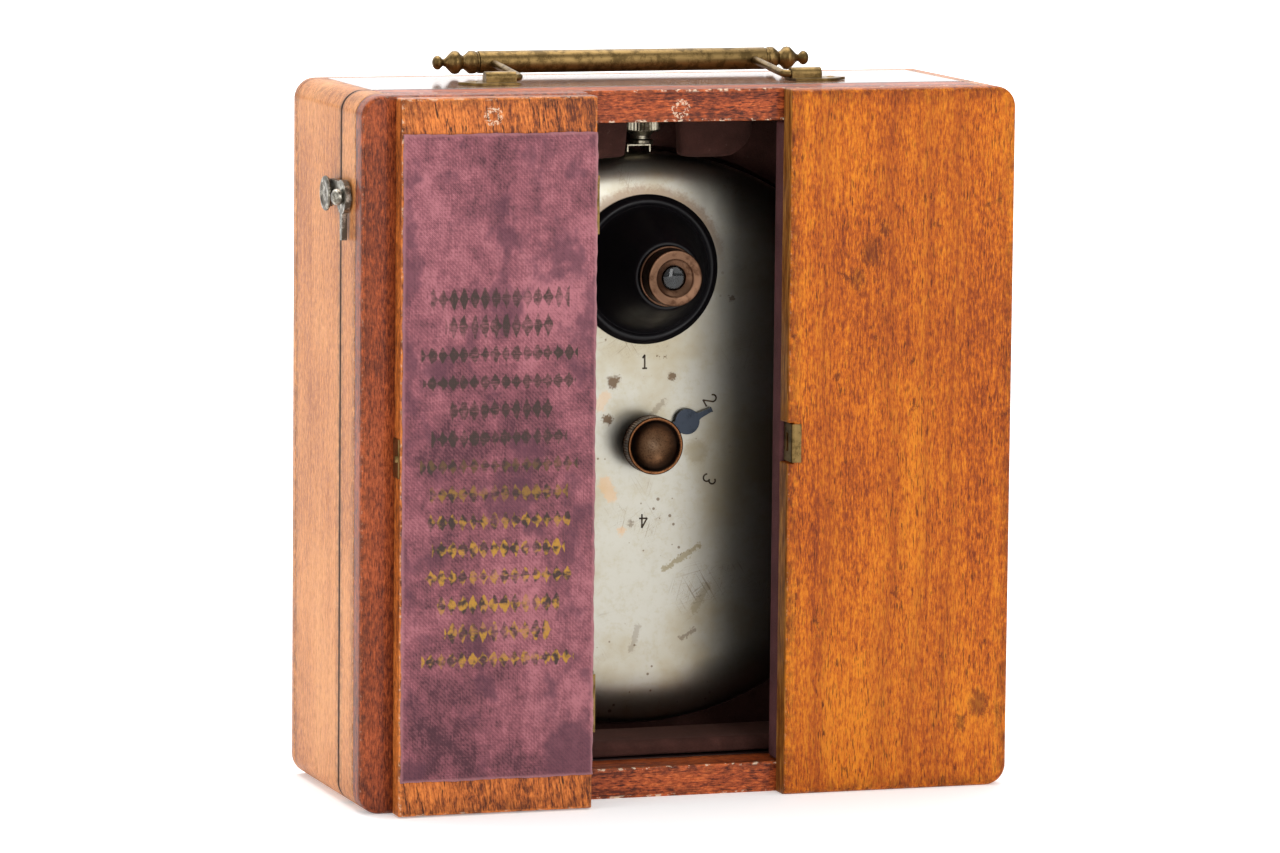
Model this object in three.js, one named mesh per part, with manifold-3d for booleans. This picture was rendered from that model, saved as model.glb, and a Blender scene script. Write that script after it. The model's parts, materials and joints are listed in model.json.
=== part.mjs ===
// A disc-shaped concealed camera of the 1880s, standing in the hardwood case that carries it
// and holds it for time exposures. The case has a front half (the lid) hinged on the right,
// and the lid has a narrow cloth-lined door, shown folded open flat against its left panel.
//
// Millimetres, +Z up, +X to the right seen from the front, +Y to the back. The origin is on the
// base, at the middle of the case's width and depth. Inside `assembly`, Y is counted from the
// case's front face.

import * as THREE from 'three';
import { mergeVertices } from 'three/addons/utils/BufferGeometryUtils.js';
import Module from 'manifold-3d';

const wasm = await Module();
wasm.setup();

// ---------------------------------------------------------------- case
const WIDTH = 176.4;
const DEPTH = 64.9;
const HEIGHT = 183.5;
const WALL = 8;
const CORNER = 5.5;                 // rounding of the four front-to-back edges
const ARRIS = 1.2;                  // rounding of the front edges
const GLUE_LINE = 0.05;             // gap between boards that are glued together
const BACK_BOARD = 3;
const PANEL = 6.3;                  // thickness of the front panels
const LID_DEPTH = 19.2;
const TRAY_FRONT = 19.6;            // leaves the parting gap behind the lid
const PARTING = (LID_DEPTH + TRAY_FRONT) / 2;
const OPENING_LEFT = -28.3;
const OPENING_RIGHT = 26.3;
const TOP_RAIL = 8.35;
const BOTTOM_RAIL = 7.9;
const PAD_DEPTH = 6.8;              // velvet liners behind the front panels
const TOP_PAD = { bottom: 162.9, front: 36.5, back: 42.5, round: 8 };
const BOTTOM_PAD = { top: 12.7, front: 20.2, back: 44, round: 2.5 };
const FORMER_FRONT = 51.2;

// ---------------------------------------------------------------- door
const DOOR_AXIS = { x: -27.1, y: -0.65 };
const DOOR_WIDTH = 51.6;
const DOOR_THICKNESS = 6.2;
const DOOR_FACE_GAP = 1.3;          // between the folded door and the panel behind it
const DOOR_BOTTOM = 0.35;
const DOOR_TOP = 183.2;
const CLOTH = 0.55;
const CLOTH_BOTTOM = 9.2;
const CLOTH_TOP = 174.2;

// ---------------------------------------------------------------- catch and hinges
const CATCH_HEIGHT = 92;            // of the middle of the catch above the base
const CATCH_LENGTH = 10;
const CATCH_POCKET = 1.7;           // depth of the finger notch in the right panel
const LID_AXIS = { x: WIDTH / 2 + 1, y: PARTING };
const LID_HINGES = { lower: 30, upper: 125 };
const DOOR_HINGES = { lower: 20, upper: 148 };
const DOOR_LEAF = { height: 15, reach: 6.2, offset: 0.4, thickness: 0.7, barrel: 1.05, pin: 0.5 };
const LID_LEAF = { height: 28, reach: 7.5, offset: 0.22, thickness: 0.6, barrel: 1.15, pin: 0.6 };
const LEAF_BED = 0.75;              // depth of the beds that the lid's hinge leaves lie in
const KNUCKLE_GAP = 0.15;
const HINGE_CLEARANCE = 0.25;

// ---------------------------------------------------------------- side hook
const HOOK_HEIGHT = 157;
const HOOK_PIVOT = 12.4;            // from the front face
const HOOK_KEEPER = 23.6;
const KEEPER_NECK = 1.6;
const PIVOT_NECK = 1.5;
const HOOK_PLATE = { near: 0.6, far: 2 };
const HOOK_TAIL = 11;

// ---------------------------------------------------------------- carrying handle
const HANDLE_PIVOT = { y: 30.5, z: HEIGHT + 1.7 };
const HANDLE_TUBE = { y: 57, z: HEIGHT + 3.9, radius: 2.95, half: 39.6 };
const HANDLE_MIDDLE = -1.1;         // the handle is set a little left of the case's middle
const TUNNEL = 8.2;                 // length of the tunnels that hold the arms
const ARM_X = 36;
const ARM_RADIUS = 1;

// ---------------------------------------------------------------- camera
const DISC_HEIGHT = 88.6;           // centre of the disc above the base
const DISC_RADIUS = 75.6;
const FACE = 38.7;                  // plane of the flat front face
const SHEET = 0.8;                  // thickness of the camera's sheet metal
const SHELL_BACK = 54.6;
const DOME_START = 60;              // radius where the face begins to curve back
const DOME_DEPTH = 6.8;
const COVER_RADIUS = 74.5;          // the back cover fits inside the shell's rim
const COVER_FRONT = 49.4;
const COVER_BACK = 55.5;
const LENS_OFFSET = 45.4;           // of the lens above the disc centre
const WINDOW_RADIUS = 18.5;
const EXPOSURES = 6;
const POINTER_ANGLE = THREE.MathUtils.degToRad(24);   // above +X, at the second exposure
const CLASP = { x: 0.6, y: 46 };
const RELEASE = { x: -16, z: 10.9, y: 45.3 };
const BUSH = { y: 46, radius: 9.5, thread: 4.4, top: 6.7 };

const FINE = 48;
const MEDIUM = 24;
const COARSE = 14;

const FINISH = {
  varnishedWood: { color: 0xb8652c, roughness: 0.35, metalness: 0 },
  sideWood: { color: 0xd89a6c, roughness: 0.3, metalness: 0 },
  redWood: { color: 0xa4502f, roughness: 0.45, metalness: 0 },
  doorWood: { color: 0xb26a3c, roughness: 0.45, metalness: 0 },
  velvet: { color: 0x46303a, roughness: 0.95, metalness: 0 },
  cloth: { color: 0x8c5569, roughness: 0.85, metalness: 0 },
  brass: { color: 0x78643c, roughness: 0.4, metalness: 1 },
  darkNickel: { color: 0x5c5a52, roughness: 0.4, metalness: 1 },
  nickel: { color: 0xc8c3b4, roughness: 0.35, metalness: 1 },
  steel: { color: 0x8a8c90, roughness: 0.35, metalness: 1 },
  bluedSteel: { color: 0x3c4650, roughness: 0.5, metalness: 0.8 },
  bronze: { color: 0x826450, roughness: 0.4, metalness: 1 },
  lacquer: { color: 0x141214, roughness: 0.35, metalness: 0 },
  glass: { color: 0xdfe8ea, roughness: 0.05, metalness: 0 },
};

// ---------------------------------------------------------------- solids
function toSolid(geometry) {
  const bare = geometry.clone();
  bare.deleteAttribute('normal');
  bare.deleteAttribute('uv');
  const merged = mergeVertices(bare, 1e-4);
  const index = merged.index.array;
  const triangles = [];
  for (let i = 0; i < index.length; i += 3) {
    const [a, b, c] = [index[i], index[i + 1], index[i + 2]];
    if (a !== b && b !== c && c !== a) triangles.push(a, b, c);
  }
  return new wasm.Manifold(new wasm.Mesh({
    numProp: 3,
    vertProperties: new Float32Array(merged.attributes.position.array),
    triVerts: new Uint32Array(triangles),
  }));
}

function toGeometry(solid) {
  const mesh = solid.getMesh();
  const geometry = new THREE.BufferGeometry();
  geometry.setAttribute('position', new THREE.BufferAttribute(mesh.vertProperties, 3));
  geometry.setIndex(new THREE.BufferAttribute(mesh.triVerts, 1));
  geometry.computeVertexNormals();
  return geometry;
}

function cut(base, ...tools) {
  const start = toSolid(base);
  return toGeometry(tools.reduce((solid, tool) => solid.subtract(toSolid(tool)), start));
}

function join(first, ...others) {
  const start = toSolid(first);
  return toGeometry(others.reduce((solid, other) => solid.add(toSolid(other)), start));
}

// A block between two corners.
function block(x0, x1, y0, y1, z0, z1) {
  const box = new THREE.BoxGeometry(x1 - x0, y1 - y0, z1 - z0);
  return box.translate((x0 + x1) / 2, (y0 + y1) / 2, (z0 + z1) / 2);
}

// An outline drawn in one plane and given a thickness from one coordinate to another.
function plateAlong(axis, outline, from, to, options = {}) {
  const geometry = new THREE.ExtrudeGeometry(outline, {
    depth: to - from, bevelEnabled: false, curveSegments: 8, ...options,
  });
  const turn = new THREE.Matrix4();
  if (axis === 'x') {
    turn.makeBasis(new THREE.Vector3(0, 1, 0), new THREE.Vector3(0, 0, 1), new THREE.Vector3(1, 0, 0));
    turn.setPosition(from, 0, 0);
  } else if (axis === 'y') {
    turn.makeBasis(new THREE.Vector3(1, 0, 0), new THREE.Vector3(0, 0, 1), new THREE.Vector3(0, -1, 0));
    turn.setPosition(0, to, 0);
  } else {
    turn.setPosition(0, 0, from);
  }
  return geometry.applyMatrix4(turn);
}

function rod(axis, radius, from, to, sides = COARSE) {
  const geometry = new THREE.CylinderGeometry(radius, radius, to - from, sides);
  geometry.translate(0, (from + to) / 2, 0);
  if (axis === 'x') geometry.rotateZ(-Math.PI / 2);
  if (axis === 'z') geometry.rotateX(Math.PI / 2);
  return geometry;
}

// A turned solid from a profile of [radius, distance along the axis] points.
function turned(axis, profile, sides = MEDIUM) {
  const closed = profile[0][0] === 0 ? profile : [...profile, profile[0]];
  let area = 0;
  for (let i = 0; i < profile.length; i += 1) {
    const [r0, a0] = profile[i];
    const [r1, a1] = profile[(i + 1) % profile.length];
    area += r0 * a1 - r1 * a0;
  }
  const ordered = area > 0 ? closed : [...closed].reverse();
  const points = ordered.map(([radius, along]) => new THREE.Vector2(radius, along));
  const geometry = new THREE.LatheGeometry(points, sides);
  if (axis === 'x') geometry.rotateZ(-Math.PI / 2);
  if (axis === 'z') geometry.rotateX(Math.PI / 2);
  return geometry;
}

// Points on a quarter ellipse, from [0, -height] to [width, 0].
function quarterTurn(width, height, steps) {
  const points = [];
  for (let i = 0; i <= steps; i += 1) {
    const angle = (i / steps) * (Math.PI / 2);
    points.push([width * Math.sin(angle), -height * Math.cos(angle)]);
  }
  return points;
}

function part(name, geometry, finish) {
  const mesh = new THREE.Mesh(geometry, new THREE.MeshStandardMaterial(FINISH[finish]));
  mesh.name = name;
  return mesh;
}

// ---------------------------------------------------------------- case boards
// A rectangle with chosen corners rounded, drawn counter-clockwise from its lower left.
function roundedRectangle(x0, x1, z0, z1, radii) {
  const [lowerLeft, lowerRight, upperRight, upperLeft] = radii;
  const shape = new THREE.Shape();
  shape.moveTo(x0 + lowerLeft, z0);
  shape.lineTo(x1 - lowerRight, z0);
  if (lowerRight > 0) shape.absarc(x1 - lowerRight, z0 + lowerRight, lowerRight, -Math.PI / 2, 0);
  shape.lineTo(x1, z1 - upperRight);
  if (upperRight > 0) shape.absarc(x1 - upperRight, z1 - upperRight, upperRight, 0, Math.PI / 2);
  shape.lineTo(x0 + upperLeft, z1);
  if (upperLeft > 0) shape.absarc(x0 + upperLeft, z1 - upperLeft, upperLeft, Math.PI / 2, Math.PI);
  shape.lineTo(x0, z0 + lowerLeft);
  if (lowerLeft > 0) shape.absarc(x0 + lowerLeft, z0 + lowerLeft, lowerLeft, Math.PI, Math.PI * 1.5);
  return shape;
}

// One side board of the tray or the lid; side is -1 for the left and 1 for the right.
function sideBoard(side, y0, y1) {
  const outer = WIDTH / 2;
  const inner = outer - WALL;
  const outline = side < 0
    ? roundedRectangle(-outer, -inner, 0, HEIGHT, [CORNER, 0, 0, CORNER])
    : roundedRectangle(inner, outer, 0, HEIGHT, [0, CORNER, CORNER, 0]);
  return plateAlong('y', outline, y0, y1);
}

// Shallow beds in the edge of a right side board for the leaves of the lid hinges.
function leafBeds(y0, y1) {
  return Object.values(LID_HINGES).map((z) => (
    block(LID_AXIS.x - LID_LEAF.reach - 0.2, WIDTH, y0, y1, z - 0.2, z + LID_LEAF.height + 0.2)
  ));
}

function crossBoard(y0, y1, z0, z1) {
  const half = WIDTH / 2 - WALL - GLUE_LINE;
  return block(-half, half, y0, y1, z0, z1);
}

// A front panel: flat at the back, with a softened arris all round the front.
function frontPanel(x0, x1, radii) {
  const outline = roundedRectangle(x0, x1, 0, HEIGHT, radii);
  const blank = plateAlong('y', outline, ARRIS, PANEL + ARRIS, {
    bevelEnabled: true,
    bevelThickness: ARRIS,
    bevelSize: ARRIS,
    bevelOffset: -ARRIS,
    bevelSegments: 2,
    curveSegments: 6,
  });
  return cut(blank, block(-WIDTH, WIDTH, PANEL, PANEL + 9, -1, HEIGHT + 1));
}

// ---------------------------------------------------------------- hinges
// A butt hinge leaf about the local Z axis. The plate runs towards -X, on the +Y side of the
// axis when side is 1. An outer leaf has the two end knuckles, an inner leaf the middle one.
// A pinned outer leaf has the pin fast in its knuckles.
function hingeLeaf(size, side, outer, pinned = false) {
  const near = side * size.offset;
  const far = side * (size.offset + size.thickness);
  const plate = block(-size.reach, 0, Math.min(near, far), Math.max(near, far), 0, size.height);
  const third = size.height / 3;
  const gaps = outer
    ? [[third - KNUCKLE_GAP, 2 * third + KNUCKLE_GAP]]
    : [[-1, third + KNUCKLE_GAP], [2 * third - KNUCKLE_GAP, size.height + 1]];
  const knuckleRoom = gaps.map(([z0, z1]) => rod('z', size.barrel + HINGE_CLEARANCE, z0, z1));
  const leaf = cut(join(plate, rod('z', size.barrel, 0, size.height)), ...knuckleRoom);
  if (pinned) return join(leaf, hingePin(size));
  return cut(leaf, rod('z', size.pin + 0.1, -1, size.height + 1));
}

function hingePin(size) {
  return rod('z', size.pin, 0.1, size.height - 0.1, 16);
}

function placed(mesh, x, y, z, turn = 0) {
  mesh.position.set(x, y, z);
  mesh.rotation.z = turn;
  return mesh;
}

// ---------------------------------------------------------------- tray
function trayBottom() {
  const board = crossBoard(TRAY_FRONT, DEPTH - BACK_BOARD - GLUE_LINE, 0, WALL);
  const hole = rod('z', BUSH.radius + 0.3, -1, BUSH.top + 0.3, MEDIUM).translate(0, BUSH.y, 0);
  return cut(board, hole);
}

// A blind threaded bush, let into the board from below.
function tripodBush() {
  const { thread, radius, top } = BUSH;
  return turned('z', [
    [0, top - 1], [thread, top - 1], [thread, 0.15], [radius, 0.15], [radius, top], [0, top],
  ]).translate(0, BUSH.y, 0);
}

// The velvet-covered block with a round blind well that the camera's back sits in.
function former() {
  const half = WIDTH / 2 - WALL - 0.3;
  const back = DEPTH - BACK_BOARD - 0.2;
  const body = block(-half, half, FORMER_FRONT, back, WALL + 0.1, HEIGHT - WALL - 0.1);
  const well = rod('y', DISC_RADIUS + 1.2, FORMER_FRONT - 1, COVER_BACK + 0.3, FINE);
  return cut(body, well.translate(0, 0, DISC_HEIGHT));
}

// The velvet-covered pad on the floor that the camera's rim rests over.
function bottomPad() {
  const half = WIDTH / 2 - WALL - 0.3;
  const { top, front, back, round } = BOTTOM_PAD;
  const outline = roundedRectangle(front, back, WALL + 0.1, top, [0, 0, round, round]);
  return plateAlong('x', outline, -half, half);
}

// One of the two soft pads that hang from the top, either side of the camera's clasp.
function topPad(inner, outer) {
  const [x0, x1] = [Math.min(inner, outer), Math.max(inner, outer)];
  const radii = outer < 0 ? [TOP_PAD.round, 1, 0, 0] : [1, TOP_PAD.round, 0, 0];
  const outline = roundedRectangle(x0, x1, TOP_PAD.bottom, HEIGHT - WALL - 0.1, radii);
  return plateAlong('y', outline, TOP_PAD.front, TOP_PAD.back);
}

// ---------------------------------------------------------------- side hook
// Studs stand out of the left side; their profiles run outwards from the wall.
function sideStud(profile, y) {
  return turned('x', profile, COARSE).rotateZ(Math.PI).translate(-WIDTH / 2, y, HOOK_HEIGHT);
}

function hookKeeper() {
  const profile = [
    [0, 0.05], [3.2, 0.05], [3.2, 0.4], [KEEPER_NECK, 0.5], [KEEPER_NECK, 2.4],
    [4.5, 2.4], [4.5, 3], [4, 3.4], [0, 3.4],
  ];
  return sideStud(profile, HOOK_KEEPER);
}

function hookPivot() {
  const profile = [
    [0, 0.05], [3, 0.05], [3, 0.4], [PIVOT_NECK, 0.45], [PIVOT_NECK, 2.2],
    [2.1, 2.4], [2.1, 3.4], [1.5, 4.1], [0, 4.4],
  ];
  return sideStud(profile, HOOK_PIVOT);
}

// The hook's throat, open below along the arc that the keeper's neck takes as the hook lifts.
function hookThroat(x0, x1) {
  const reach = HOOK_KEEPER - HOOK_PIVOT;
  const cutters = [];
  for (let degrees = 0; degrees <= 30; degrees += 5) {
    const angle = THREE.MathUtils.degToRad(degrees);
    const neck = rod('x', KEEPER_NECK + 0.3, x0, x1);
    cutters.push(neck.translate(
      0, HOOK_PIVOT + reach * Math.cos(angle), HOOK_HEIGHT - reach * Math.sin(angle),
    ));
  }
  return cutters;
}

// The hook: an eye on the pivot, an arm that drops over the keeper, and a finger tail.
function sideHook() {
  const x0 = -WIDTH / 2 - HOOK_PLATE.far;
  const x1 = -WIDTH / 2 - HOOK_PLATE.near;
  const disc = (radius, y, z) => rod('x', radius, x0, x1).translate(0, y, z);
  const middle = HOOK_HEIGHT;
  const arm = block(x0, x1, HOOK_PIVOT, HOOK_KEEPER, middle + 0.6, middle + 3.8);
  const tail = new THREE.Shape();
  tail.moveTo(HOOK_PIVOT - 1.4, middle);
  tail.lineTo(HOOK_PIVOT - 0.9, middle - HOOK_TAIL);
  tail.lineTo(HOOK_PIVOT + 0.9, middle - HOOK_TAIL);
  tail.lineTo(HOOK_PIVOT + 1.4, middle);
  const body = join(
    disc(4.4, HOOK_PIVOT, middle),
    arm,
    disc(3.8, HOOK_KEEPER, middle),
    plateAlong('x', tail, x0, x1),
  );
  const pivotHole = rod('x', PIVOT_NECK + 0.25, x0 - 1, x1 + 1);
  return cut(
    body,
    pivotHole.translate(0, HOOK_PIVOT, middle),
    ...hookThroat(x0 - 1, x1 + 1),
  );
}

// ---------------------------------------------------------------- carrying handle
function handleTube() {
  const { radius, half } = HANDLE_TUBE;
  const bore = radius - 0.6;
  return turned('x', [[bore, -half], [radius, -half], [radius, half], [bore, half]]);
}

// A turned end: spigot, collar and groove, a large bead, a neck and a ball.
function finial(side) {
  const start = HANDLE_TUBE.half;
  const profile = [
    [0, start - 4], [2.1, start - 4], [2.1, start + 0.1], [2.7, start + 0.1], [2.7, start + 0.7],
    [3, start + 0.9], [3, start + 2.4], [1.8, start + 3.9], [2.2, start + 4.8], [3.1, start + 6.3],
    [2.2, start + 7.8], [1.2, start + 8.8], [0.9, start + 9.4], [1.5, start + 10.1],
    [1.85, start + 11], [1.5, start + 11.9], [0, start + 12.35],
  ];
  const geometry = turned('x', profile, 18);
  return side < 0 ? geometry.rotateZ(Math.PI) : geometry;
}

// A bent rod from the tube forward and down to the pivot, then outwards into its bracket.
function handleArm(side) {
  const { y, z } = HANDLE_PIVOT;
  const bend = 1.6;
  const slope = (HANDLE_TUBE.z - z) / (HANDLE_TUBE.y - y);
  const point = (x, along) => new THREE.Vector3(side * x, y + along, z + along * slope);
  const path = new THREE.CurvePath();
  path.add(new THREE.LineCurve3(point(ARM_X, HANDLE_TUBE.y - y), point(ARM_X, bend)));
  path.add(new THREE.QuadraticBezierCurve3(
    point(ARM_X, bend), point(ARM_X, 0), point(ARM_X + bend, 0),
  ));
  path.add(new THREE.LineCurve3(point(ARM_X + bend, 0), point(ARM_X + TUNNEL - 0.4, 0)));
  const section = new THREE.Shape();
  section.absarc(0, 0, ARM_RADIUS, 0, Math.PI * 2);
  const bent = new THREE.ExtrudeGeometry(section, { steps: 32, extrudePath: path, curveSegments: 5 });
  const tube = rod('x', HANDLE_TUBE.radius + 0.15, -60, 60, MEDIUM)
    .translate(0, HANDLE_TUBE.y, HANDLE_TUBE.z);
  const behind = block(-60, 60, HANDLE_TUBE.y, HANDLE_TUBE.y + 9, HEIGHT - 5, HEIGHT + 20);
  return cut(bent, tube, behind);
}

// A leaf-shaped plate on the top board with a half-round tunnel for the arm's end.
function handleBracket(side) {
  const start = ARM_X + 1.6;
  const tunnelEnd = start + TUNNEL;
  const base = HEIGHT + GLUE_LINE;
  const leaf = new THREE.Shape();
  leaf.moveTo(side * start, -4.6);
  leaf.lineTo(side * (tunnelEnd + 1), -4.6);
  leaf.quadraticCurveTo(side * (tunnelEnd + 3.5), -4.4, side * (tunnelEnd + 4.5), -2.4);
  leaf.quadraticCurveTo(side * (tunnelEnd + 5.2), -1, side * (tunnelEnd + 7), 0);
  leaf.quadraticCurveTo(side * (tunnelEnd + 5.2), 1, side * (tunnelEnd + 4.5), 2.4);
  leaf.quadraticCurveTo(side * (tunnelEnd + 3.5), 4.4, side * (tunnelEnd + 1), 4.6);
  leaf.lineTo(side * start, 4.6);
  const plate = plateAlong('z', leaf, base, base + 0.7, { curveSegments: 4 })
    .translate(0, HANDLE_PIVOT.y, 0);
  const centre = HANDLE_PIVOT.z;
  const radius = 1.75;
  const arch = new THREE.Shape();
  arch.moveTo(HANDLE_PIVOT.y + radius, base + 0.2);
  arch.lineTo(HANDLE_PIVOT.y + radius, centre);
  arch.absarc(HANDLE_PIVOT.y, centre, radius, 0, Math.PI);
  arch.lineTo(HANDLE_PIVOT.y - radius, base + 0.2);
  const ends = [side * start, side * tunnelEnd].sort((a, b) => a - b);
  const tunnel = plateAlong('x', arch, ends[0], ends[1]);
  const boreEnds = [side * (start - 1), side * (tunnelEnd - 0.8)].sort((a, b) => a - b);
  const bore = rod('x', ARM_RADIUS + 0.25, boreEnds[0], boreEnds[1])
    .translate(0, HANDLE_PIVOT.y, centre);
  return cut(join(plate, tunnel), bore);
}

// ---------------------------------------------------------------- lid
function lidPad(x0, x1) {
  return block(x0, x1, PANEL + 0.1, PANEL + PAD_DEPTH, BOTTOM_RAIL + 0.2, HEIGHT - TOP_RAIL - 0.2);
}

function rightPanel() {
  const panel = frontPanel(OPENING_RIGHT, WIDTH / 2, [0, CORNER, CORNER, 0]);
  const half = CATCH_LENGTH / 2 + 0.3;
  const notch = block(
    OPENING_RIGHT - 1, OPENING_RIGHT + CATCH_POCKET, -1, PANEL + 1,
    CATCH_HEIGHT - half, CATCH_HEIGHT + half,
  );
  return cut(panel, notch);
}

// The brass catch in the finger notch: a slotted plate whose lip wraps the front edge.
function doorCatch() {
  const back = OPENING_RIGHT + CATCH_POCKET - 0.1;
  const z0 = CATCH_HEIGHT - CATCH_LENGTH / 2;
  const z1 = CATCH_HEIGHT + CATCH_LENGTH / 2;
  const outline = new THREE.Shape();
  outline.moveTo(back, PANEL - 0.3);
  outline.lineTo(back - 0.6, PANEL - 0.3);
  outline.lineTo(back - 0.6, 0.2);
  outline.quadraticCurveTo(back - 0.6, -0.6, back + 0.6, -0.6);
  outline.lineTo(back + 2, -0.5);
  outline.lineTo(back + 2, -0.1);
  outline.lineTo(back, -0.1);
  const plate = plateAlong('z', outline, z0, z1);
  const slot = block(back - 2, back + 1, 2.6, 4.2, z0 + 2.6, z1 - 2.6);
  return cut(plate, slot);
}

// ---------------------------------------------------------------- door
const DOOR_FRONT = -DOOR_FACE_GAP - DOOR_THICKNESS;
const DOOR_LEFT = OPENING_LEFT - DOOR_WIDTH;

function doorBoard() {
  const round = 0.7;
  const outline = roundedRectangle(DOOR_LEFT, OPENING_LEFT, DOOR_BOTTOM, DOOR_TOP, [0, 0, 0, 0]);
  return plateAlong('y', outline, DOOR_FRONT + round, -DOOR_FACE_GAP - round, {
    bevelEnabled: true,
    bevelThickness: round,
    bevelSize: round,
    bevelOffset: -round,
    bevelSegments: 2,
  });
}

// A tongue on the door's free edge that the catch holds when the door is shut.
function doorStrike() {
  const edge = DOOR_LEFT - 0.05;
  const [half, tongueHalf] = [CATCH_LENGTH / 2, 0.8];
  const plate = block(
    edge - 0.35, edge, DOOR_FRONT + 0.8, -DOOR_FACE_GAP - 0.8,
    CATCH_HEIGHT - half, CATCH_HEIGHT + half,
  );
  const tongue = block(
    edge - 1.1, edge - 0.2, DOOR_FRONT + 0.9, DOOR_FRONT + 2.4,
    CATCH_HEIGHT - tongueHalf, CATCH_HEIGHT + tongueHalf,
  );
  return join(plate, tongue);
}

// ---------------------------------------------------------------- camera body
// The camera's solids are drawn about the disc's centre line, with Y from the case's front.
function domePoints(radius, start, front, depth, steps) {
  return quarterTurn(radius - start, depth, steps).map(([r, y]) => [start + r, front + depth + y]);
}

// The front shell has a deep rim; an ear and pin under it carry the release lever.
function frontShell() {
  const inside = DISC_RADIUS - SHEET;
  const outer = domePoints(DISC_RADIUS, DOME_START, FACE, DOME_DEPTH, 4);
  const inner = domePoints(inside, DOME_START, FACE + SHEET, DOME_DEPTH - SHEET / 2, 4);
  const profile = [
    [2.4, FACE], ...outer, [DISC_RADIUS, SHELL_BACK], [inside, SHELL_BACK],
    ...inner.reverse(), [2.4, FACE + SHEET],
  ];
  const lensHole = rod('y', 15, FACE - 2, FACE + 4, MEDIUM).translate(0, 0, LENS_OFFSET);
  const x = RELEASE.x;
  const z = RELEASE.z - DISC_HEIGHT;
  const ear = block(x - 1.8, x + 1.8, 47, 48, z - 1.6, z + 5);
  const room = rod('y', inside + 0.3, 40, 54, FINE);
  const pin = rod('y', 0.8, RELEASE.y - 0.3, 47.5, 16).translate(x, 0, z);
  return join(cut(turned('y', profile, FINE), lensHole), cut(ear, room), pin);
}

function backCover() {
  const inside = COVER_RADIUS - 0.7;
  return turned('y', [
    [0, COVER_BACK], [73, COVER_BACK], [74.1, COVER_BACK - 0.4], [COVER_RADIUS, COVER_BACK - 1.2],
    [COVER_RADIUS, COVER_FRONT], [inside, COVER_FRONT], [inside, COVER_BACK - 1.6],
    [inside - 0.8, COVER_BACK - SHEET], [0, COVER_BACK - SHEET],
  ], FINE);
}

function lensHood() {
  const profile = [
    [15.2, FACE - 0.1], [19.7, FACE - 0.1], [19.7, FACE - 0.7], [19.3, FACE - 1],
    [18.6, FACE - 1.8], [17.9, FACE - 2.1], [17.2, FACE - 1.8], [16.7, FACE - 1.3],
    [14.6, 33.4], [11.8, 27.2], [9.6, 22], [8.7, 20.4], [7.7, 20.4],
    [7.7, 22.6], [8.8, 24.2], [11, 29], [13.6, 34.8],
  ];
  return turned('y', profile, 28).translate(0, 0, LENS_OFFSET);
}

function lensTube() {
  const profile = [
    [3.2, 15.4], [4, 14.9], [4.7, 14.5], [5.1, 14.1], [6.8, 13.9], [7.2, 14], [7.4, 14.4],
    [7.4, 19.2], [7.9, 19.4], [7.9, 20.2], [7.4, 20.3], [7.4, 26], [6.5, 26], [6.5, 17.4],
    [3.2, 17.4],
  ];
  return turned('y', profile).translate(0, 0, LENS_OFFSET);
}

function frontElement() {
  const profile = [[0, 14.8], [1.6, 14.9], [2.6, 15.2], [3, 15.5], [3, 16.6], [1.6, 16.9], [0, 17]];
  return turned('y', profile, COARSE).translate(0, 0, LENS_OFFSET);
}

// The fixed plate behind the shutter, with a collar round the picture's opening.
function lightBaffle() {
  const plate = turned('y', [[2.2, 44.4], [72.2, 44.4], [72.2, 45.1], [2.2, 45.1]], FINE);
  const radius = WINDOW_RADIUS + 0.5;
  const collar = turned('y', [[radius - 1, 42], [radius, 42], [radius, 44.8], [radius - 1, 44.8]])
    .translate(0, 0, LENS_OFFSET);
  const hole = rod('y', radius - 0.9, 40, 47, MEDIUM).translate(0, 0, LENS_OFFSET);
  return join(cut(plate, hole), collar);
}

// A bowed leaf on the back cover that presses the glass plate forward.
function pressureSpring() {
  const half = 40;
  const rise = 4.6;
  const crown = COVER_BACK - SHEET - 0.2;
  const sag = (x, y) => y - rise * (x / half) ** 2;
  const outline = new THREE.Shape();
  const steps = 12;
  outline.moveTo(-half, sag(half, crown));
  for (let i = 1; i <= 2 * steps; i += 1) {
    const x = -half + (i * half) / steps;
    outline.lineTo(x, sag(x, crown));
  }
  for (let i = 2 * steps; i >= 0; i -= 1) {
    const x = -half + (i * half) / steps;
    outline.lineTo(x, sag(x, crown - 0.5));
  }
  return plateAlong('z', outline, -5, 5);
}

// The clasp's clip bridges the rim; its collar and threaded stud stand up from it.
function claspClip() {
  const foot = DISC_RADIUS + 0.2;
  const top = foot + 2.1;
  const [left, right, sheet] = [-4.8, 1.8, 0.5];
  const arch = new THREE.Shape();
  arch.moveTo(left, foot);
  arch.lineTo(left, top);
  arch.lineTo(right, top);
  arch.lineTo(right, foot);
  arch.lineTo(right - sheet, foot);
  arch.lineTo(right - sheet, top - sheet);
  arch.lineTo(left + sheet, top - sheet);
  arch.lineTo(left + sheet, foot);
  const bridge = plateAlong('y', arch, -3.5, 3.5);
  const stud = turned('z', [
    [0, top - 0.3], [3.4, top - 0.3], [3.4, top + 0.9], [1.3, top + 1], [1.3, top + 7.6],
    [0, top + 7.6],
  ], COARSE);
  return join(bridge, stud).translate(CLASP.x, CLASP.y, 0);
}

function claspNut() {
  const bore = 1.6;
  const foot = DISC_RADIUS + 3.5;
  return turned('z', [
    [bore, 0], [2.8, 0], [2.6, 0.7], [3.6, 1.9], [4.8, 2], [5.2, 2.4],
    [5.2, 6.7], [4.8, 7.1], [bore, 7.1],
  ]).translate(CLASP.x, CLASP.y, foot);
}

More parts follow.
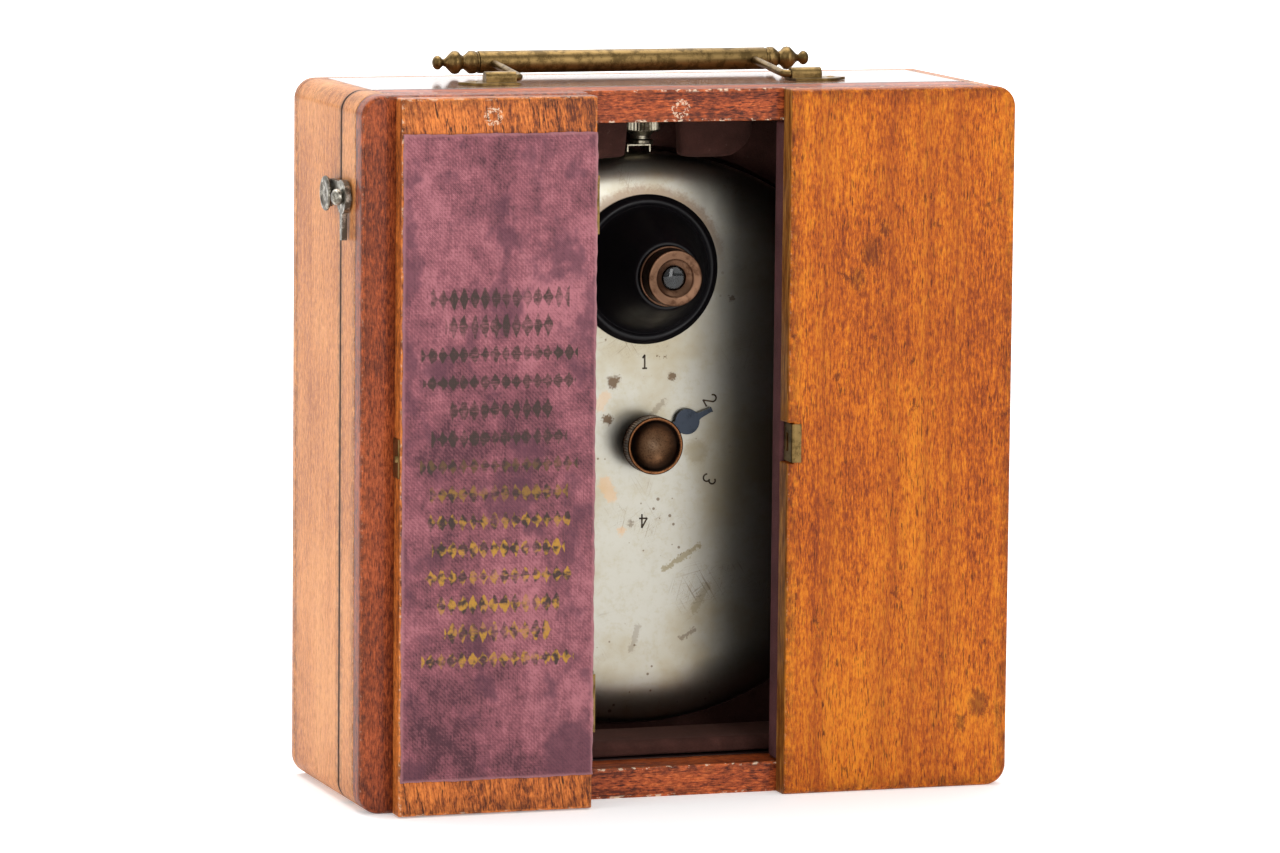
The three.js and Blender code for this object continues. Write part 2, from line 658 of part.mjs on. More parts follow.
// ---------------------------------------------------------------- winding and shutter
function windingKnob() {
  return turned('y', [
    [0, 30.8], [0.7, 31], [4.4, 31.1], [6.9, 28.9], [7.3, 28.7], [7.6, 29], [7.6, 33.6],
    [7.2, 34], [3.8, 34.3], [3.6, 36.6], [0, 36.6],
  ]);
}

function spindle() {
  return turned('y', [[0, 36.7], [1.6, 36.7], [1.6, 45.6], [2.9, 45.6], [2.9, 46.2], [0, 46.2]], COARSE);
}

// The pointer: a hub under the knob, a round blade and a tapered tip.
function pointerHand() {
  const [y0, y1] = [37, 37.8];
  const blade = { distance: 12.5, radius: 3.4 };
  const tip = new THREE.Shape();
  tip.moveTo(blade.distance, -1.9);
  tip.lineTo(20, -0.9);
  tip.lineTo(20, 0.9);
  tip.lineTo(blade.distance, 1.9);
  const body = join(
    rod('y', 4, y0, y1),
    rod('y', blade.radius, y0, y1, 24).translate(blade.distance, 0, 0),
    plateAlong('y', tip, y0, y1),
    block(0, blade.distance, y0, y1, -1.5, 1.5),
  );
  const hole = rod('y', 1.8, y0 - 1, y1 + 1);
  return cut(body, hole).rotateY(-POINTER_ANGLE);
}

// A dish that carries the glass plate behind six round picture windows.
function plateCarrier() {
  const dish = turned('y', [
    [0, 46.4], [71.3, 46.4], [71.3, 48.9], [70.7, 48.9], [70.7, 47], [0, 47],
  ], FINE);
  const windows = [];
  for (let i = 0; i < EXPOSURES; i += 1) {
    const angle = (i / EXPOSURES) * Math.PI * 2;
    windows.push(rod('y', WINDOW_RADIUS, 45, 48, 18).translate(
      LENS_OFFSET * Math.sin(angle), 0, LENS_OFFSET * Math.cos(angle),
    ));
  }
  return cut(dish, ...windows);
}

function glassPlate() {
  return turned('y', [[0, 47.2], [70.3, 47.2], [70.3, 48.7], [0, 48.7]], FINE);
}

// A thin disc with one round exposure hole, resting with the hole away from the lens.
function shutterDisc() {
  const disc = turned('y', [[2.2, 40.5], [60, 40.5], [60, 41], [2.2, 41]], 40);
  const angle = THREE.MathUtils.degToRad(50);
  const hole = rod('y', 9, 39, 43, 24)
    .translate(LENS_OFFSET * Math.sin(angle), 0, LENS_OFFSET * Math.cos(angle));
  return cut(disc, hole);
}

// A flat spiral ribbon round the spindle.
function shutterSpring() {
  const turns = 3;
  const perTurn = 14;
  const strip = 0.4;
  const pointAt = (step, extra) => {
    const angle = (step / perTurn) * Math.PI * 2;
    const radius = 3.6 + (8 * step) / (turns * perTurn) + extra;
    return [radius * Math.cos(angle), radius * Math.sin(angle)];
  };
  const outline = new THREE.Shape();
  outline.moveTo(...pointAt(0, 0));
  for (let i = 1; i <= turns * perTurn; i += 1) outline.lineTo(...pointAt(i, 0));
  for (let i = turns * perTurn; i >= 0; i -= 1) outline.lineTo(...pointAt(i, strip));
  return plateAlong('y', outline, 41.5, 43.1);
}

function releaseLever() {
  const { x, z, y } = RELEASE;
  const [y0, y1] = [y, y + 1.2];
  const arm = new THREE.Shape();
  arm.moveTo(x, z + 1.2);
  arm.lineTo(x - 10, z + 1.1);
  arm.lineTo(x - 10, z - 1.1);
  arm.lineTo(x, z - 1.2);
  const body = join(
    plateAlong('y', arm, y0, y1),
    rod('y', 1.8, y0, y1).translate(x, 0, z),
    rod('y', 1.6, y0, y1).translate(x - 10, 0, z),
  );
  return cut(
    body,
    rod('y', 1.05, y0 - 1, y1 + 1).translate(x, 0, z),
    rod('y', 0.8, y0 - 1, y1 + 1).translate(x - 10, 0, z),
  );
}

// ---------------------------------------------------------------- assembly
function tray() {
  const group = new THREE.Group();
  const back = DEPTH - BACK_BOARD - GLUE_LINE;
  const half = WIDTH / 2;
  const backOutline = roundedRectangle(-half, half, 0, HEIGHT, [CORNER, CORNER, CORNER, CORNER]);
  const rightSide = cut(sideBoard(1, TRAY_FRONT, back), ...leafBeds(PARTING, TRAY_FRONT + LEAF_BED));
  group.add(
    part('tray_side_left', sideBoard(-1, TRAY_FRONT, back), 'sideWood'),
    part('tray_side_right', rightSide, 'sideWood'),
    part('tray_top', crossBoard(TRAY_FRONT, back, HEIGHT - WALL, HEIGHT), 'sideWood'),
    part('tray_bottom', trayBottom(), 'sideWood'),
    part('tray_back_board', plateAlong('y', backOutline, DEPTH - BACK_BOARD, DEPTH), 'sideWood'),
    part('former', former(), 'velvet'),
    part('bottom_pad', bottomPad(), 'velvet'),
    part('top_pad_left', topPad(-5, -29), 'velvet'),
    part('top_pad_right', topPad(8, 29.5), 'velvet'),
    part('tripod_bush', tripodBush(), 'brass'),
    part('hook_keeper', hookKeeper(), 'darkNickel'),
    placed(part('handle_bracket_left', handleBracket(-1), 'brass'), HANDLE_MIDDLE, 0, 0),
    placed(part('handle_bracket_right', handleBracket(1), 'brass'), HANDLE_MIDDLE, 0, 0),
  );
  for (const [place, z] of Object.entries(LID_HINGES)) {
    const leaf = part(`lid_hinge_fixed_leaf_${place}`, hingeLeaf(LID_LEAF, 1, true), 'brass');
    const pin = part(`lid_hinge_pin_${place}`, hingePin(LID_LEAF), 'brass');
    group.add(placed(leaf, LID_AXIS.x, LID_AXIS.y, z), placed(pin, LID_AXIS.x, LID_AXIS.y, z));
  }
  return group;
}

function lid() {
  const group = new THREE.Group();
  const front = PANEL + GLUE_LINE;
  const half = WIDTH / 2;
  const inside = half - WALL - 0.3;
  const rightSide = cut(sideBoard(1, front, LID_DEPTH), ...leafBeds(LID_DEPTH - LEAF_BED, PARTING));
  group.add(
    part('lid_side_left', sideBoard(-1, front, LID_DEPTH), 'sideWood'),
    part('lid_side_right', rightSide, 'sideWood'),
    part('lid_rail_top', crossBoard(front, LID_DEPTH, HEIGHT - TOP_RAIL, HEIGHT), 'redWood'),
    part('lid_rail_bottom', crossBoard(front, LID_DEPTH, 0, BOTTOM_RAIL), 'redWood'),
    part('lid_panel_left', frontPanel(-half, OPENING_LEFT, [CORNER, 0, 0, CORNER]), 'varnishedWood'),
    part('lid_panel_right', rightPanel(), 'varnishedWood'),
    part('lid_pad_left', lidPad(-inside, OPENING_LEFT), 'velvet'),
    part('lid_pad_right', lidPad(OPENING_RIGHT, inside), 'velvet'),
    part('door_catch', doorCatch(), 'brass'),
    part('hook_pivot', hookPivot(), 'darkNickel'),
  );
  for (const [place, z] of Object.entries(LID_HINGES)) {
    const leaf = part(`lid_hinge_moving_leaf_${place}`, hingeLeaf(LID_LEAF, -1, false), 'brass');
    group.add(placed(leaf, LID_AXIS.x, LID_AXIS.y, z));
  }
  for (const [place, z] of Object.entries(DOOR_HINGES)) {
    const leaf = hingeLeaf(DOOR_LEAF, -1, true, true);
    group.add(placed(
      part(`door_hinge_fixed_leaf_${place}`, leaf, 'brass'),
      DOOR_AXIS.x, DOOR_AXIS.y, z, -Math.PI / 2,
    ));
  }
  return group;
}

function door() {
  const group = new THREE.Group();
  const clothFront = DOOR_FRONT - GLUE_LINE - CLOTH;
  group.add(
    part('door_board', doorBoard(), 'doorWood'),
    part('door_cloth', block(
      DOOR_LEFT + 0.3, OPENING_LEFT - 0.1, clothFront, clothFront + CLOTH, CLOTH_BOTTOM, CLOTH_TOP,
    ), 'cloth'),
    part('door_strike', doorStrike(), 'steel'),
  );
  for (const [place, z] of Object.entries(DOOR_HINGES)) {
    const leaf = part(`door_hinge_moving_leaf_${place}`, hingeLeaf(DOOR_LEAF, 1, false), 'brass');
    group.add(placed(leaf, DOOR_AXIS.x, DOOR_AXIS.y, z, Math.PI / 2));
  }
  return group;
}

function handle() {
  const group = new THREE.Group();
  group.position.x = HANDLE_MIDDLE;
  const tubeParts = [
    part('handle_tube', handleTube(), 'brass'),
    part('handle_finial_left', finial(-1), 'brass'),
    part('handle_finial_right', finial(1), 'brass'),
  ];
  for (const mesh of tubeParts) {
    mesh.position.set(0, HANDLE_TUBE.y, HANDLE_TUBE.z);
    group.add(mesh);
  }
  group.add(
    part('handle_arm_left', handleArm(-1), 'brass'),
    part('handle_arm_right', handleArm(1), 'brass'),
  );
  return group;
}

function camera() {
  const group = new THREE.Group();
  group.position.z = DISC_HEIGHT;
  group.add(
    part('front_shell', frontShell(), 'nickel'),
    part('back_cover', backCover(), 'nickel'),
    part('lens_hood', lensHood(), 'lacquer'),
    part('lens_tube', lensTube(), 'bronze'),
    part('front_element', frontElement(), 'glass'),
    part('light_baffle', lightBaffle(), 'lacquer'),
    part('pressure_spring', pressureSpring(), 'steel'),
    part('clasp_clip', claspClip(), 'nickel'),
    part('clasp_nut', claspNut(), 'nickel'),
    part('winding_knob', windingKnob(), 'bronze'),
    part('spindle', spindle(), 'steel'),
    part('pointer_hand', pointerHand(), 'bluedSteel'),
    part('plate_carrier', plateCarrier(), 'lacquer'),
    part('glass_plate', glassPlate(), 'glass'),
    part('shutter_disc', shutterDisc(), 'lacquer'),
    part('shutter_spring', shutterSpring(), 'steel'),
  );
  return group;
}

const assembly = new THREE.Group();
assembly.position.y = -DEPTH / 2;
assembly.add(
  tray(),
  lid(),
  door(),
  part('side_hook', sideHook(), 'darkNickel'),
  handle(),
  camera(),
  part('release_lever', releaseLever(), 'nickel'),
);

const model = new THREE.Group();
model.add(assembly);

export default model;
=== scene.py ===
# Looks for a disc-shaped concealed camera standing in its hardwood case, built round the packed
# CAD frame. Lengths here are millimetres of the row frame unless a name says otherwise: +X to
# the right, +Y to the back, +Z up. Everything is turned into metres where a mesh is made.
import json
import math

import bmesh
import bpy
import numpy as np
from mathutils import Matrix, Vector


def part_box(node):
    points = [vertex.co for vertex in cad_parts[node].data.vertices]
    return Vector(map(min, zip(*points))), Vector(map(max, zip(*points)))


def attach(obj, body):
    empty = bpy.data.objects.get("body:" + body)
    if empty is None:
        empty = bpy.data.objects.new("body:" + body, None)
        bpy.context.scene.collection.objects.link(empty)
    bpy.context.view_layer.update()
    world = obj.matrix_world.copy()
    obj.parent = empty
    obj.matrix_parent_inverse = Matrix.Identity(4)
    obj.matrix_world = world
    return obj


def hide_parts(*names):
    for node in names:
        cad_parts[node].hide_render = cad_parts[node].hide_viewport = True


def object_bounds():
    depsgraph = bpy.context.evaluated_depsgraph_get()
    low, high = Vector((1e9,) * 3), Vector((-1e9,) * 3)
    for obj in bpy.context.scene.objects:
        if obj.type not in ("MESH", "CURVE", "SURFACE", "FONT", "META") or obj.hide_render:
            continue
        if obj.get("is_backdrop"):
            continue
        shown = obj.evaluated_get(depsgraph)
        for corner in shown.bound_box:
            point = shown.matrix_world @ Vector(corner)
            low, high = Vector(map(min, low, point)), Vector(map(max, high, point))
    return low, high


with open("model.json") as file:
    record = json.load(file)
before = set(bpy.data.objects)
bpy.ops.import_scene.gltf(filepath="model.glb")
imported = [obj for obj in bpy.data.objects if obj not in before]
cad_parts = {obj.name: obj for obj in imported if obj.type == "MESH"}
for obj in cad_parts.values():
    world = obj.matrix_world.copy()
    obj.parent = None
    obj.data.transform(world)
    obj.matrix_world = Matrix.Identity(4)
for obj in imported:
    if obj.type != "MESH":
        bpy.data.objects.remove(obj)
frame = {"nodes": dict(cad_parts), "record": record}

CAD_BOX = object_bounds()
MM = 0.001
RECORD = frame["record"]
BODY_OF = {n: b for b, nodes in RECORD["behaviour"]["bodies"].items() for n in nodes}
SLOT_OF = {s["node"]: s["material_slot"] for s in RECORD["subparts"]}


def corners(node):
    """Lowest and highest corner of a CAD node, in millimetres."""
    low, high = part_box(node)
    return low / MM, high / MM


# ------------------------------------------------------------------ places taken from the frame
SHELL_LOW, SHELL_HIGH = corners("front_shell")
DISC_RADIUS = (SHELL_HIGH.x - SHELL_LOW.x) / 2
DISC = Vector((0, SHELL_LOW.y, SHELL_HIGH.z - DISC_RADIUS))   # centre of the disc's face
HOOD_LOW, HOOD_HIGH = corners("lens_hood")
LENS = Vector((0, DISC.y, (HOOD_LOW.z + HOOD_HIGH.z) / 2))
CASE_LOW, CASE_HIGH = corners("tray_back_board")
PARTING = (corners("lid_side_left")[1].y + corners("tray_side_left")[0].y) / 2
CASE_CENTRE = Vector((0, 0, (CASE_LOW.z + CASE_HIGH.z) / 2))
INSIDE = Vector((corners("tray_side_right")[0].x, 0, corners("tray_top")[0].z - CASE_CENTRE.z))
OPENING_RIGHT = corners("lid_panel_right")[0].x
TUBE_LOW, TUBE_HIGH = corners("handle_tube")
TUBE_CENTRE = (TUBE_LOW + TUBE_HIGH) / 2


def add_object(name, data):
    made = bpy.data.objects.new(name, data)
    bpy.context.scene.collection.objects.link(made)
    return made


# ------------------------------------------------------------------ camera, floor and light
VIEW_PLACE = Vector((-0.5748, -1.73215, 0.3191))   # metres
VIEW_ANGLES = (18.263, 7.054, 0.556)               # degrees to the right, down and clockwise
VIEW_LENS = 198.0
FLOOR_REACH = 30.0                                 # metres
WORLD_LIGHT = 0.5
LIGHTS = {
    # place and size in metres, power in watts
    "key": ((1.0, -1.6, 1.1), (1.3, 1.6), 8),
    "window": ((0.26, -2.05, 0.8), (0.42, 1.5), 9),
    "side": ((-1.6, -0.6, 0.6), (1.2, 1.2), 5),
    "top": ((0.0, 0.35, 1.5), (1.4, 1.4), 22),
    "wall": ((0.0, 2.4, 1.5), (4.4, 2.6), 45),
}


def make_camera():
    """The viewpoint: from the left and a little above, with a long lens."""
    yaw, pitch, roll = (math.radians(angle) for angle in VIEW_ANGLES)
    ahead = Vector((
        math.sin(yaw) * math.cos(pitch), math.cos(yaw) * math.cos(pitch), -math.sin(pitch),
    ))
    right = Vector((math.cos(yaw), -math.sin(yaw), 0))
    up = right.cross(ahead)
    across = math.cos(roll) * right + math.sin(roll) * up
    upright = -math.sin(roll) * right + math.cos(roll) * up
    data = bpy.data.cameras.new("view")
    data.lens, data.sensor_width = VIEW_LENS, 36.0
    data.clip_start, data.clip_end = 0.05, 60
    view = add_object("view", data)
    turn = Matrix((across, upright, -ahead)).transposed().to_4x4()
    view.matrix_world = Matrix.Translation(VIEW_PLACE) @ turn
    bpy.context.scene.camera = view


def area_light(name, place, size, power):
    """A soft box that faces the middle of the case."""
    data = bpy.data.lights.new(name, "AREA")
    data.shape, data.size, data.size_y = "RECTANGLE", size[0], size[1]
    data.energy = power
    lamp = add_object(name, data)
    lamp.location = place
    lamp.visible_camera = False
    lamp.rotation_mode = "QUATERNION"
    towards = CASE_CENTRE * MM - Vector(place)
    lamp.rotation_quaternion = towards.to_track_quat("-Z", "Y")


def make_stage():
    world = bpy.data.worlds.new("studio")
    world.use_nodes = True
    sky = world.node_tree.nodes["Background"].inputs
    sky["Color"].default_value = (1, 1, 1, 1)
    sky["Strength"].default_value = WORLD_LIGHT
    bpy.context.scene.world = world
    for name, settings in LIGHTS.items():
        area_light(name, *settings)
    mesh = bpy.data.meshes.new("floor")
    signs = ((-1, -1), (1, -1), (1, 1), (-1, 1))
    mesh.from_pydata([(x * FLOOR_REACH, y * FLOOR_REACH, 0) for x, y in signs], [], [(0, 1, 2, 3)])
    floor = add_object("floor", mesh)
    paper = Shading("floor_paper")
    grain = paper.cloud(0.4)
    far = paper.remap(paper.vector("LENGTH", paper.mm), 400, 2500)
    paper.set({
        "Base Color": paper.ramp(grain, (0, (0.86, 0.86, 0.86)), (1, (0.9, 0.9, 0.9))),
        "Roughness": 0.8,
        "Emission Color": paper.ramp(far, (0, (0.3, 0.3, 0.3)), (1, (1, 1, 1))),
        "Emission Strength": 1.0,
    })
    floor.data.materials.append(paper.material)
    floor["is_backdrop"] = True


# ------------------------------------------------------------------ material building
def srgb(red, green, blue):
    """A colour given in 0-255 display values, as the linear numbers the shader takes."""
    def linear(value):
        value /= 255
        return value / 12.92 if value <= 0.04045 else ((value + 0.055) / 1.055) ** 2.4
    return (linear(red), linear(green), linear(blue))


def scaled(colour, share):
    """A colour made darker, or lighter where share is above one."""
    return tuple(c * share for c in colour)


class Value:
    """What a node puts out. A sum, difference or product of values is one more node."""

    def __init__(self, shading, socket):
        self.shading = shading
        self.socket = socket

    def __add__(self, other):
        return self.shading.math("ADD", self, other)

    def __sub__(self, other):
        return self.shading.math("SUBTRACT", self, other)

    def __mul__(self, other):
        return self.shading.math("MULTIPLY", self, other)


class Shading:
    """One material. Each method adds a node and gives back what it puts out."""

    def __init__(self, name):
        self.material = bpy.data.materials.new(name)
        self.material.use_nodes = True
        self.tree = self.material.node_tree
        self.tree.nodes.clear()
        self.shader = self.node("ShaderNodeBsdfPrincipled")
        output = self.node("ShaderNodeOutputMaterial")
        self.tree.links.new(self.shader.outputs[0], output.inputs["Surface"])
        place = self.result(self.node("ShaderNodeTexCoord"), "Object")
        self.mm = self.vector("MULTIPLY", place, (1 / MM,) * 3)
        self.x, self.y, self.z = self.split(self.mm)

    def node(self, kind, **settings):
        made = self.tree.nodes.new(kind)
        for key, value in settings.items():
            setattr(made, key, value)
        return made

    def result(self, node, output=0):
        return Value(self, node.outputs[output])

    def put(self, socket, value):
        if isinstance(value, Value):
            self.tree.links.new(value.socket, socket)
        elif socket.type == "RGBA" and len(value) == 3:
            socket.default_value = (*value, 1)
        else:
            socket.default_value = value

    def set(self, values):
        for key, value in values.items():
            self.put(self.shader.inputs[key], value)

    def math(self, kind, a, b=0.0):
        made = self.node("ShaderNodeMath", operation=kind)
        for socket, value in zip(made.inputs, (a, b)):
            self.put(socket, value)
        return self.result(made)

    def vector(self, kind, a, b=(0, 0, 0)):
        made = self.node("ShaderNodeVectorMath", operation=kind)
        self.put(made.inputs[0], a)
        self.put(made.inputs[1], b)
        return self.result(made, "Value" if kind == "LENGTH" else "Vector")

    def split(self, value):
        made = self.node("ShaderNodeSeparateXYZ")
        self.put(made.inputs[0], value)
        return tuple(Value(self, output) for output in made.outputs)

    def join(self, x, y, z):
        made = self.node("ShaderNodeCombineXYZ")
        for socket, value in zip(made.inputs, (x, y, z)):
            self.put(socket, value)
        return self.result(made)

    def noise(self, place, scale=1.0, detail=2.0, roughness=0.5):
        made = self.node("ShaderNodeTexNoise")
        given = {"Vector": place, "Scale": scale, "Detail": detail, "Roughness": roughness}
        for key, value in given.items():
            self.put(made.inputs[key], value)
        return self.result(made)

    def cloud(self, scale, detail=2.0, roughness=0.5):
        """Noise that is alike in all directions, scale giving its waves per millimetre."""
        return self.noise(self.mm, scale, detail, roughness)

    def cells(self, scale):
        made = self.node("ShaderNodeTexVoronoi")
        self.put(made.inputs["Vector"], self.mm)
        made.inputs["Scale"].default_value = scale
        return self.result(made, "Distance")

    def remap(self, value, low, high, to_low=0.0, to_high=1.0):
        made = self.node("ShaderNodeMapRange", interpolation_type="SMOOTHSTEP", clamp=True)
        for socket, given in zip(made.inputs, (value, low, high, to_low, to_high)):
            self.put(socket, given)
        return self.result(made)

    def band(self, value, middle, inner, outer, most=1):
        """As much as most within inner of the middle, and nothing from outer on."""
        return self.remap(self.math("ABSOLUTE", value - middle), inner, outer, most, 0)

    def ramp(self, value, *stops):
        made = self.node("ShaderNodeValToRGB")
        self.put(made.inputs[0], value)
        elements = made.color_ramp.elements
        while len(elements) < len(stops):
            elements.new(0.5)
        for element, (place, colour) in zip(elements, stops):
            element.position = place
            element.color = (*colour, 1)
        return self.result(made)

    def mix(self, factor, a, b):
        made = self.node("ShaderNodeMix", data_type="RGBA")
        sockets = [s for s in made.inputs if s.type == "RGBA"]
        self.put(made.inputs[0], factor)
        self.put(sockets[0], a)
        self.put(sockets[1], b)
        return Value(self, [s for s in made.outputs if s.type == "RGBA"][0])

    def bump(self, height, millimetres, strength):
        made = self.node("ShaderNodeBump")
        self.put(made.inputs["Height"], height)
        made.inputs["Distance"].default_value = millimetres * MM
        made.inputs["Strength"].default_value = strength
        return self.result(made)

    def stretched(self, x, y, z, shift=(0, 0, 0)):
        made = self.node("ShaderNodeVectorMath", operation="MULTIPLY_ADD")
        self.put(made.inputs[0], self.mm)
        made.inputs[1].default_value = (x, y, z)
        made.inputs[2].default_value = shift
        return self.result(made, "Vector")

    def edge_distance(self, low, high):
        """How far a point on a board between two corners is from its nearest edge."""
        middle, half = (low + high) / 2, (high - low) / 2
        away = self.vector("ABSOLUTE", self.vector("SUBTRACT", self.mm, tuple(middle)))
        a, b, c = self.split(self.vector("SUBTRACT", tuple(half), away))
        least, most = self.math("MINIMUM", a, b), self.math("MAXIMUM", a, b)
        return self.math("MAXIMUM", least, self.math("MINIMUM", most, c))


# ------------------------------------------------------------------ wood
PALETTES = {
    # palest, middle and darkest tone of each timber under its varnish
    "pale": (srgb(220, 152, 92), srgb(202, 130, 72), srgb(160, 92, 46)),
    "orange": (srgb(212, 124, 22), srgb(186, 92, 12), srgb(130, 54, 10)),
    "strip": (srgb(186, 92, 46), srgb(142, 64, 30), srgb(80, 32, 16)),
    "red": (srgb(214, 110, 54), srgb(172, 78, 36), srgb(88, 34, 16)),
    "door": (srgb(220, 128, 56), srgb(186, 98, 38), srgb(98, 44, 18)),
    "top": (srgb(190, 136, 98), srgb(146, 96, 66), srgb(76, 44, 28)),
}
BARE_WOOD = srgb(226, 204, 176)
# Colour of the painted shade along the parting gap between lid and tray.
PARTING_GAP_SHADE = srgb(40, 22, 14)


def wood(name, palette, board, grain="z", pith=(8, 70), growth=0.5, fleck=0.6, slant=0.0,
         stains=0.3, wear=0.25, chips=0.2, gloss=0.2, streaks=0.25, seed=0.0,
         veins=(), spots=(), seal=None, weathered=None, dark_inside=False):
    """Varnished timber. pith is where the tree's centre lies, across the board and behind it.
    veins are the x of dark lines down the board, spots the (x, z, radius) of knots and stains.
    seal is the (x, z) of a chipped ring left by one, weathered the x of an edge left bare;
    dark_inside boards turn dark brown on their faces inside the case."""
    s = Shading(name)
    pale, middle, dark = PALETTES[palette]
    along, across = (s.z, s.x) if grain == "z" else (s.x, s.z)
    along, across = along + seed * 37, across + seed * 11
    across = across + along * slant
    depth = s.y + seed * 5

    def grain_noise(fine, long, detail=2.0, roughness=0.5):
        place = s.join(across * fine, depth * fine, along * long)
        return s.noise(place, detail=detail, roughness=roughness)

    drift = (grain_noise(0.022, 0.009) - 0.5) * 16
    ripple = (grain_noise(0.09, 0.05, 1) - 0.5) * 2.2
    off = across + drift + ripple - (pith[0] + seed * 11)
    back = depth + pith[1]
    ring = s.math("SQRT", off * off + back * back)
    bands = s.noise(s.join(ring * growth, along * 0.004, 0.0), detail=4, roughness=0.62)
    lines = grain_noise(1.0, 0.014, 3, 0.7)
    fibre = grain_noise(2.6, 0.5, 3, 0.7)
    blotch = grain_noise(0.03, 0.02, 3, 0.6)
    mottle = grain_noise(1.1, 0.6, 4, 0.75)
    tone = bands * 0.5 + lines * streaks + fibre * 1.1 + blotch * 0.8 + mottle * 0.8
    tone = tone - (1.1 + streaks / 2)
    colour = s.ramp(tone, (0.26, dark), (0.5, middle), (0.72, pale))
    wander = (s.noise(s.stretched(0.02, 0.02, 0.02), detail=3) - 0.5) * 14
    fray = (mottle - 0.5) * 7
    for place in veins:
        away = s.math("ABSOLUTE", s.x + wander - place)
        line = s.remap(away, 0.05, 0.55, 0.65, 0) * s.remap(fibre, 0.36, 0.56)
        shade = s.remap(away, 0.0, 5.0, 0.25, 0)
        colour = s.mix(s.math("MAXIMUM", line, shade), colour, dark)
    for x, z, radius in spots:
        away = s.vector("LENGTH", s.join(s.x - x, 0.0, (s.z - z) * 0.7))
        spot = s.remap(away + fray, radius * 0.3, radius * 1.3, 0.6, 0)
        colour = s.mix(spot, colour, scaled(dark, 0.35))
    pores = s.remap(grain_noise(2.4, 0.28, 2, 0.6), 0.57, 0.64)
    clumps = s.remap(grain_noise(0.12, 0.05, 2), 0.4, 0.62, 0.4, 1)
    colour = s.mix(pores * clumps * fleck, colour, scaled(dark, 0.3))
    knots = s.remap(grain_noise(0.11, 0.09, 5, 0.75), 0.62, 0.74)
    colour = s.mix(knots * stains, colour, scaled(dark, 0.3))
    edge = s.edge_distance(*board)
    rubbed = s.noise(s.stretched(0.35, 0.35, 0.35, (seed, 0, 0)), detail=4, roughness=0.75)
    grime = s.remap(edge, 0.3, 5.0, 1, 0) * s.remap(rubbed, 0.36, 0.62) * 0.6
    colour = s.mix(grime, colour, scaled(dark, 0.4))
    worn = s.remap(edge, 0.15, 0.9, 1, 0) * s.remap(rubbed, 0.46, 0.6, 1, 0) * wear
    colour = s.mix(worn, colour, pale)
    nick = s.remap(s.noise(s.stretched(0.5, 0.9, 0.9), detail=3, roughness=0.7), 0.56, 0.61)
    colour = s.mix(s.remap(edge, 0.2, 0.9, 1, 0) * nick * chips, colour, BARE_WOOD)
    if seal:
        away = s.vector("LENGTH", s.join(s.x - seal[0], 0.0, s.z - seal[1]))
        band = s.band(away, 1.8, 0.5, 0.9)
        chipped = s.remap(s.cloud(1.7, detail=3, roughness=0.7), 0.5, 0.56, 0, 0.75)
        colour = s.mix(band * chipped, colour, BARE_WOOD)
    if weathered is not None:
        bare = s.band(s.x, weathered, 0.1, 0.5, 0.85)
        streak = s.noise(s.stretched(1.2, 1.2, 0.1, (5, 0, 0)), detail=4, roughness=0.75)
        old = s.ramp(streak, (0.36, srgb(40, 24, 14)), (0.5, srgb(132, 82, 34)),
                     (0.66, srgb(190, 136, 66)))
        colour = s.mix(bare, colour, old)
    # Painted shade: a dark band on the wood along the parting gap between lid and tray.
    colour = s.mix(s.band(s.y, PARTING, 0.5, 1.3, 0.9), colour, PARTING_GAP_SHADE)
    # The faces inside the case are coloured dark brown.
    if dark_inside:
        from_middle = s.vector("ABSOLUTE", s.vector("SUBTRACT", s.mm, tuple(CASE_CENTRE)))
        past = s.split(s.vector("SUBTRACT", from_middle, tuple(INSIDE)))
        inner = s.remap(s.math("MAXIMUM", past[0], past[2]), 0.0, 0.25, 1, 0)
        colour = s.mix(inner, colour, srgb(46, 28, 28))
    height = fibre * 0.5 + pores * -0.8 + blotch * 0.6 + mottle * 0.5
    s.set({
        "Base Color": colour,
        "Roughness": s.remap(fibre + pores * 0.3, 0.2, 0.9, 0.4, 0.6),
        "Specular IOR Level": 0.14,
        "Coat Weight": gloss,
        "Coat Roughness": 0.12,
        "Normal": s.bump(height, 0.08, 0.6),
    })
    return s.material


# ------------------------------------------------------------------ metals, fabric and glass
def metal(name, bright, dull, roughness, patina=0.5, scale=0.35, speckle=0.3):
    """Aged metal: a polished colour under patches of tarnish and small dark specks."""
    s = Shading(name)
    cloud = s.cloud(scale, detail=5, roughness=0.65)
    fine = s.cloud(scale * 9, detail=3, roughness=0.6)
    amount = cloud * 0.75 + fine * 0.25
    tarnish = s.remap(amount, 0.62 - 0.3 * patina, 0.78 - 0.3 * patina)
    specks = s.remap(fine, 0.66, 0.76) * speckle
    colour = s.mix(tarnish, bright, dull)
    colour = s.mix(specks, colour, scaled(dull, 0.4))
    s.set({
        "Base Color": colour,
        "Metallic": 1.0,
        "Roughness": s.remap(amount, 0.3, 0.75, *roughness),
        "Normal": s.bump(fine + cloud * 0.5, 0.03, 0.5),
    })
    return s.material


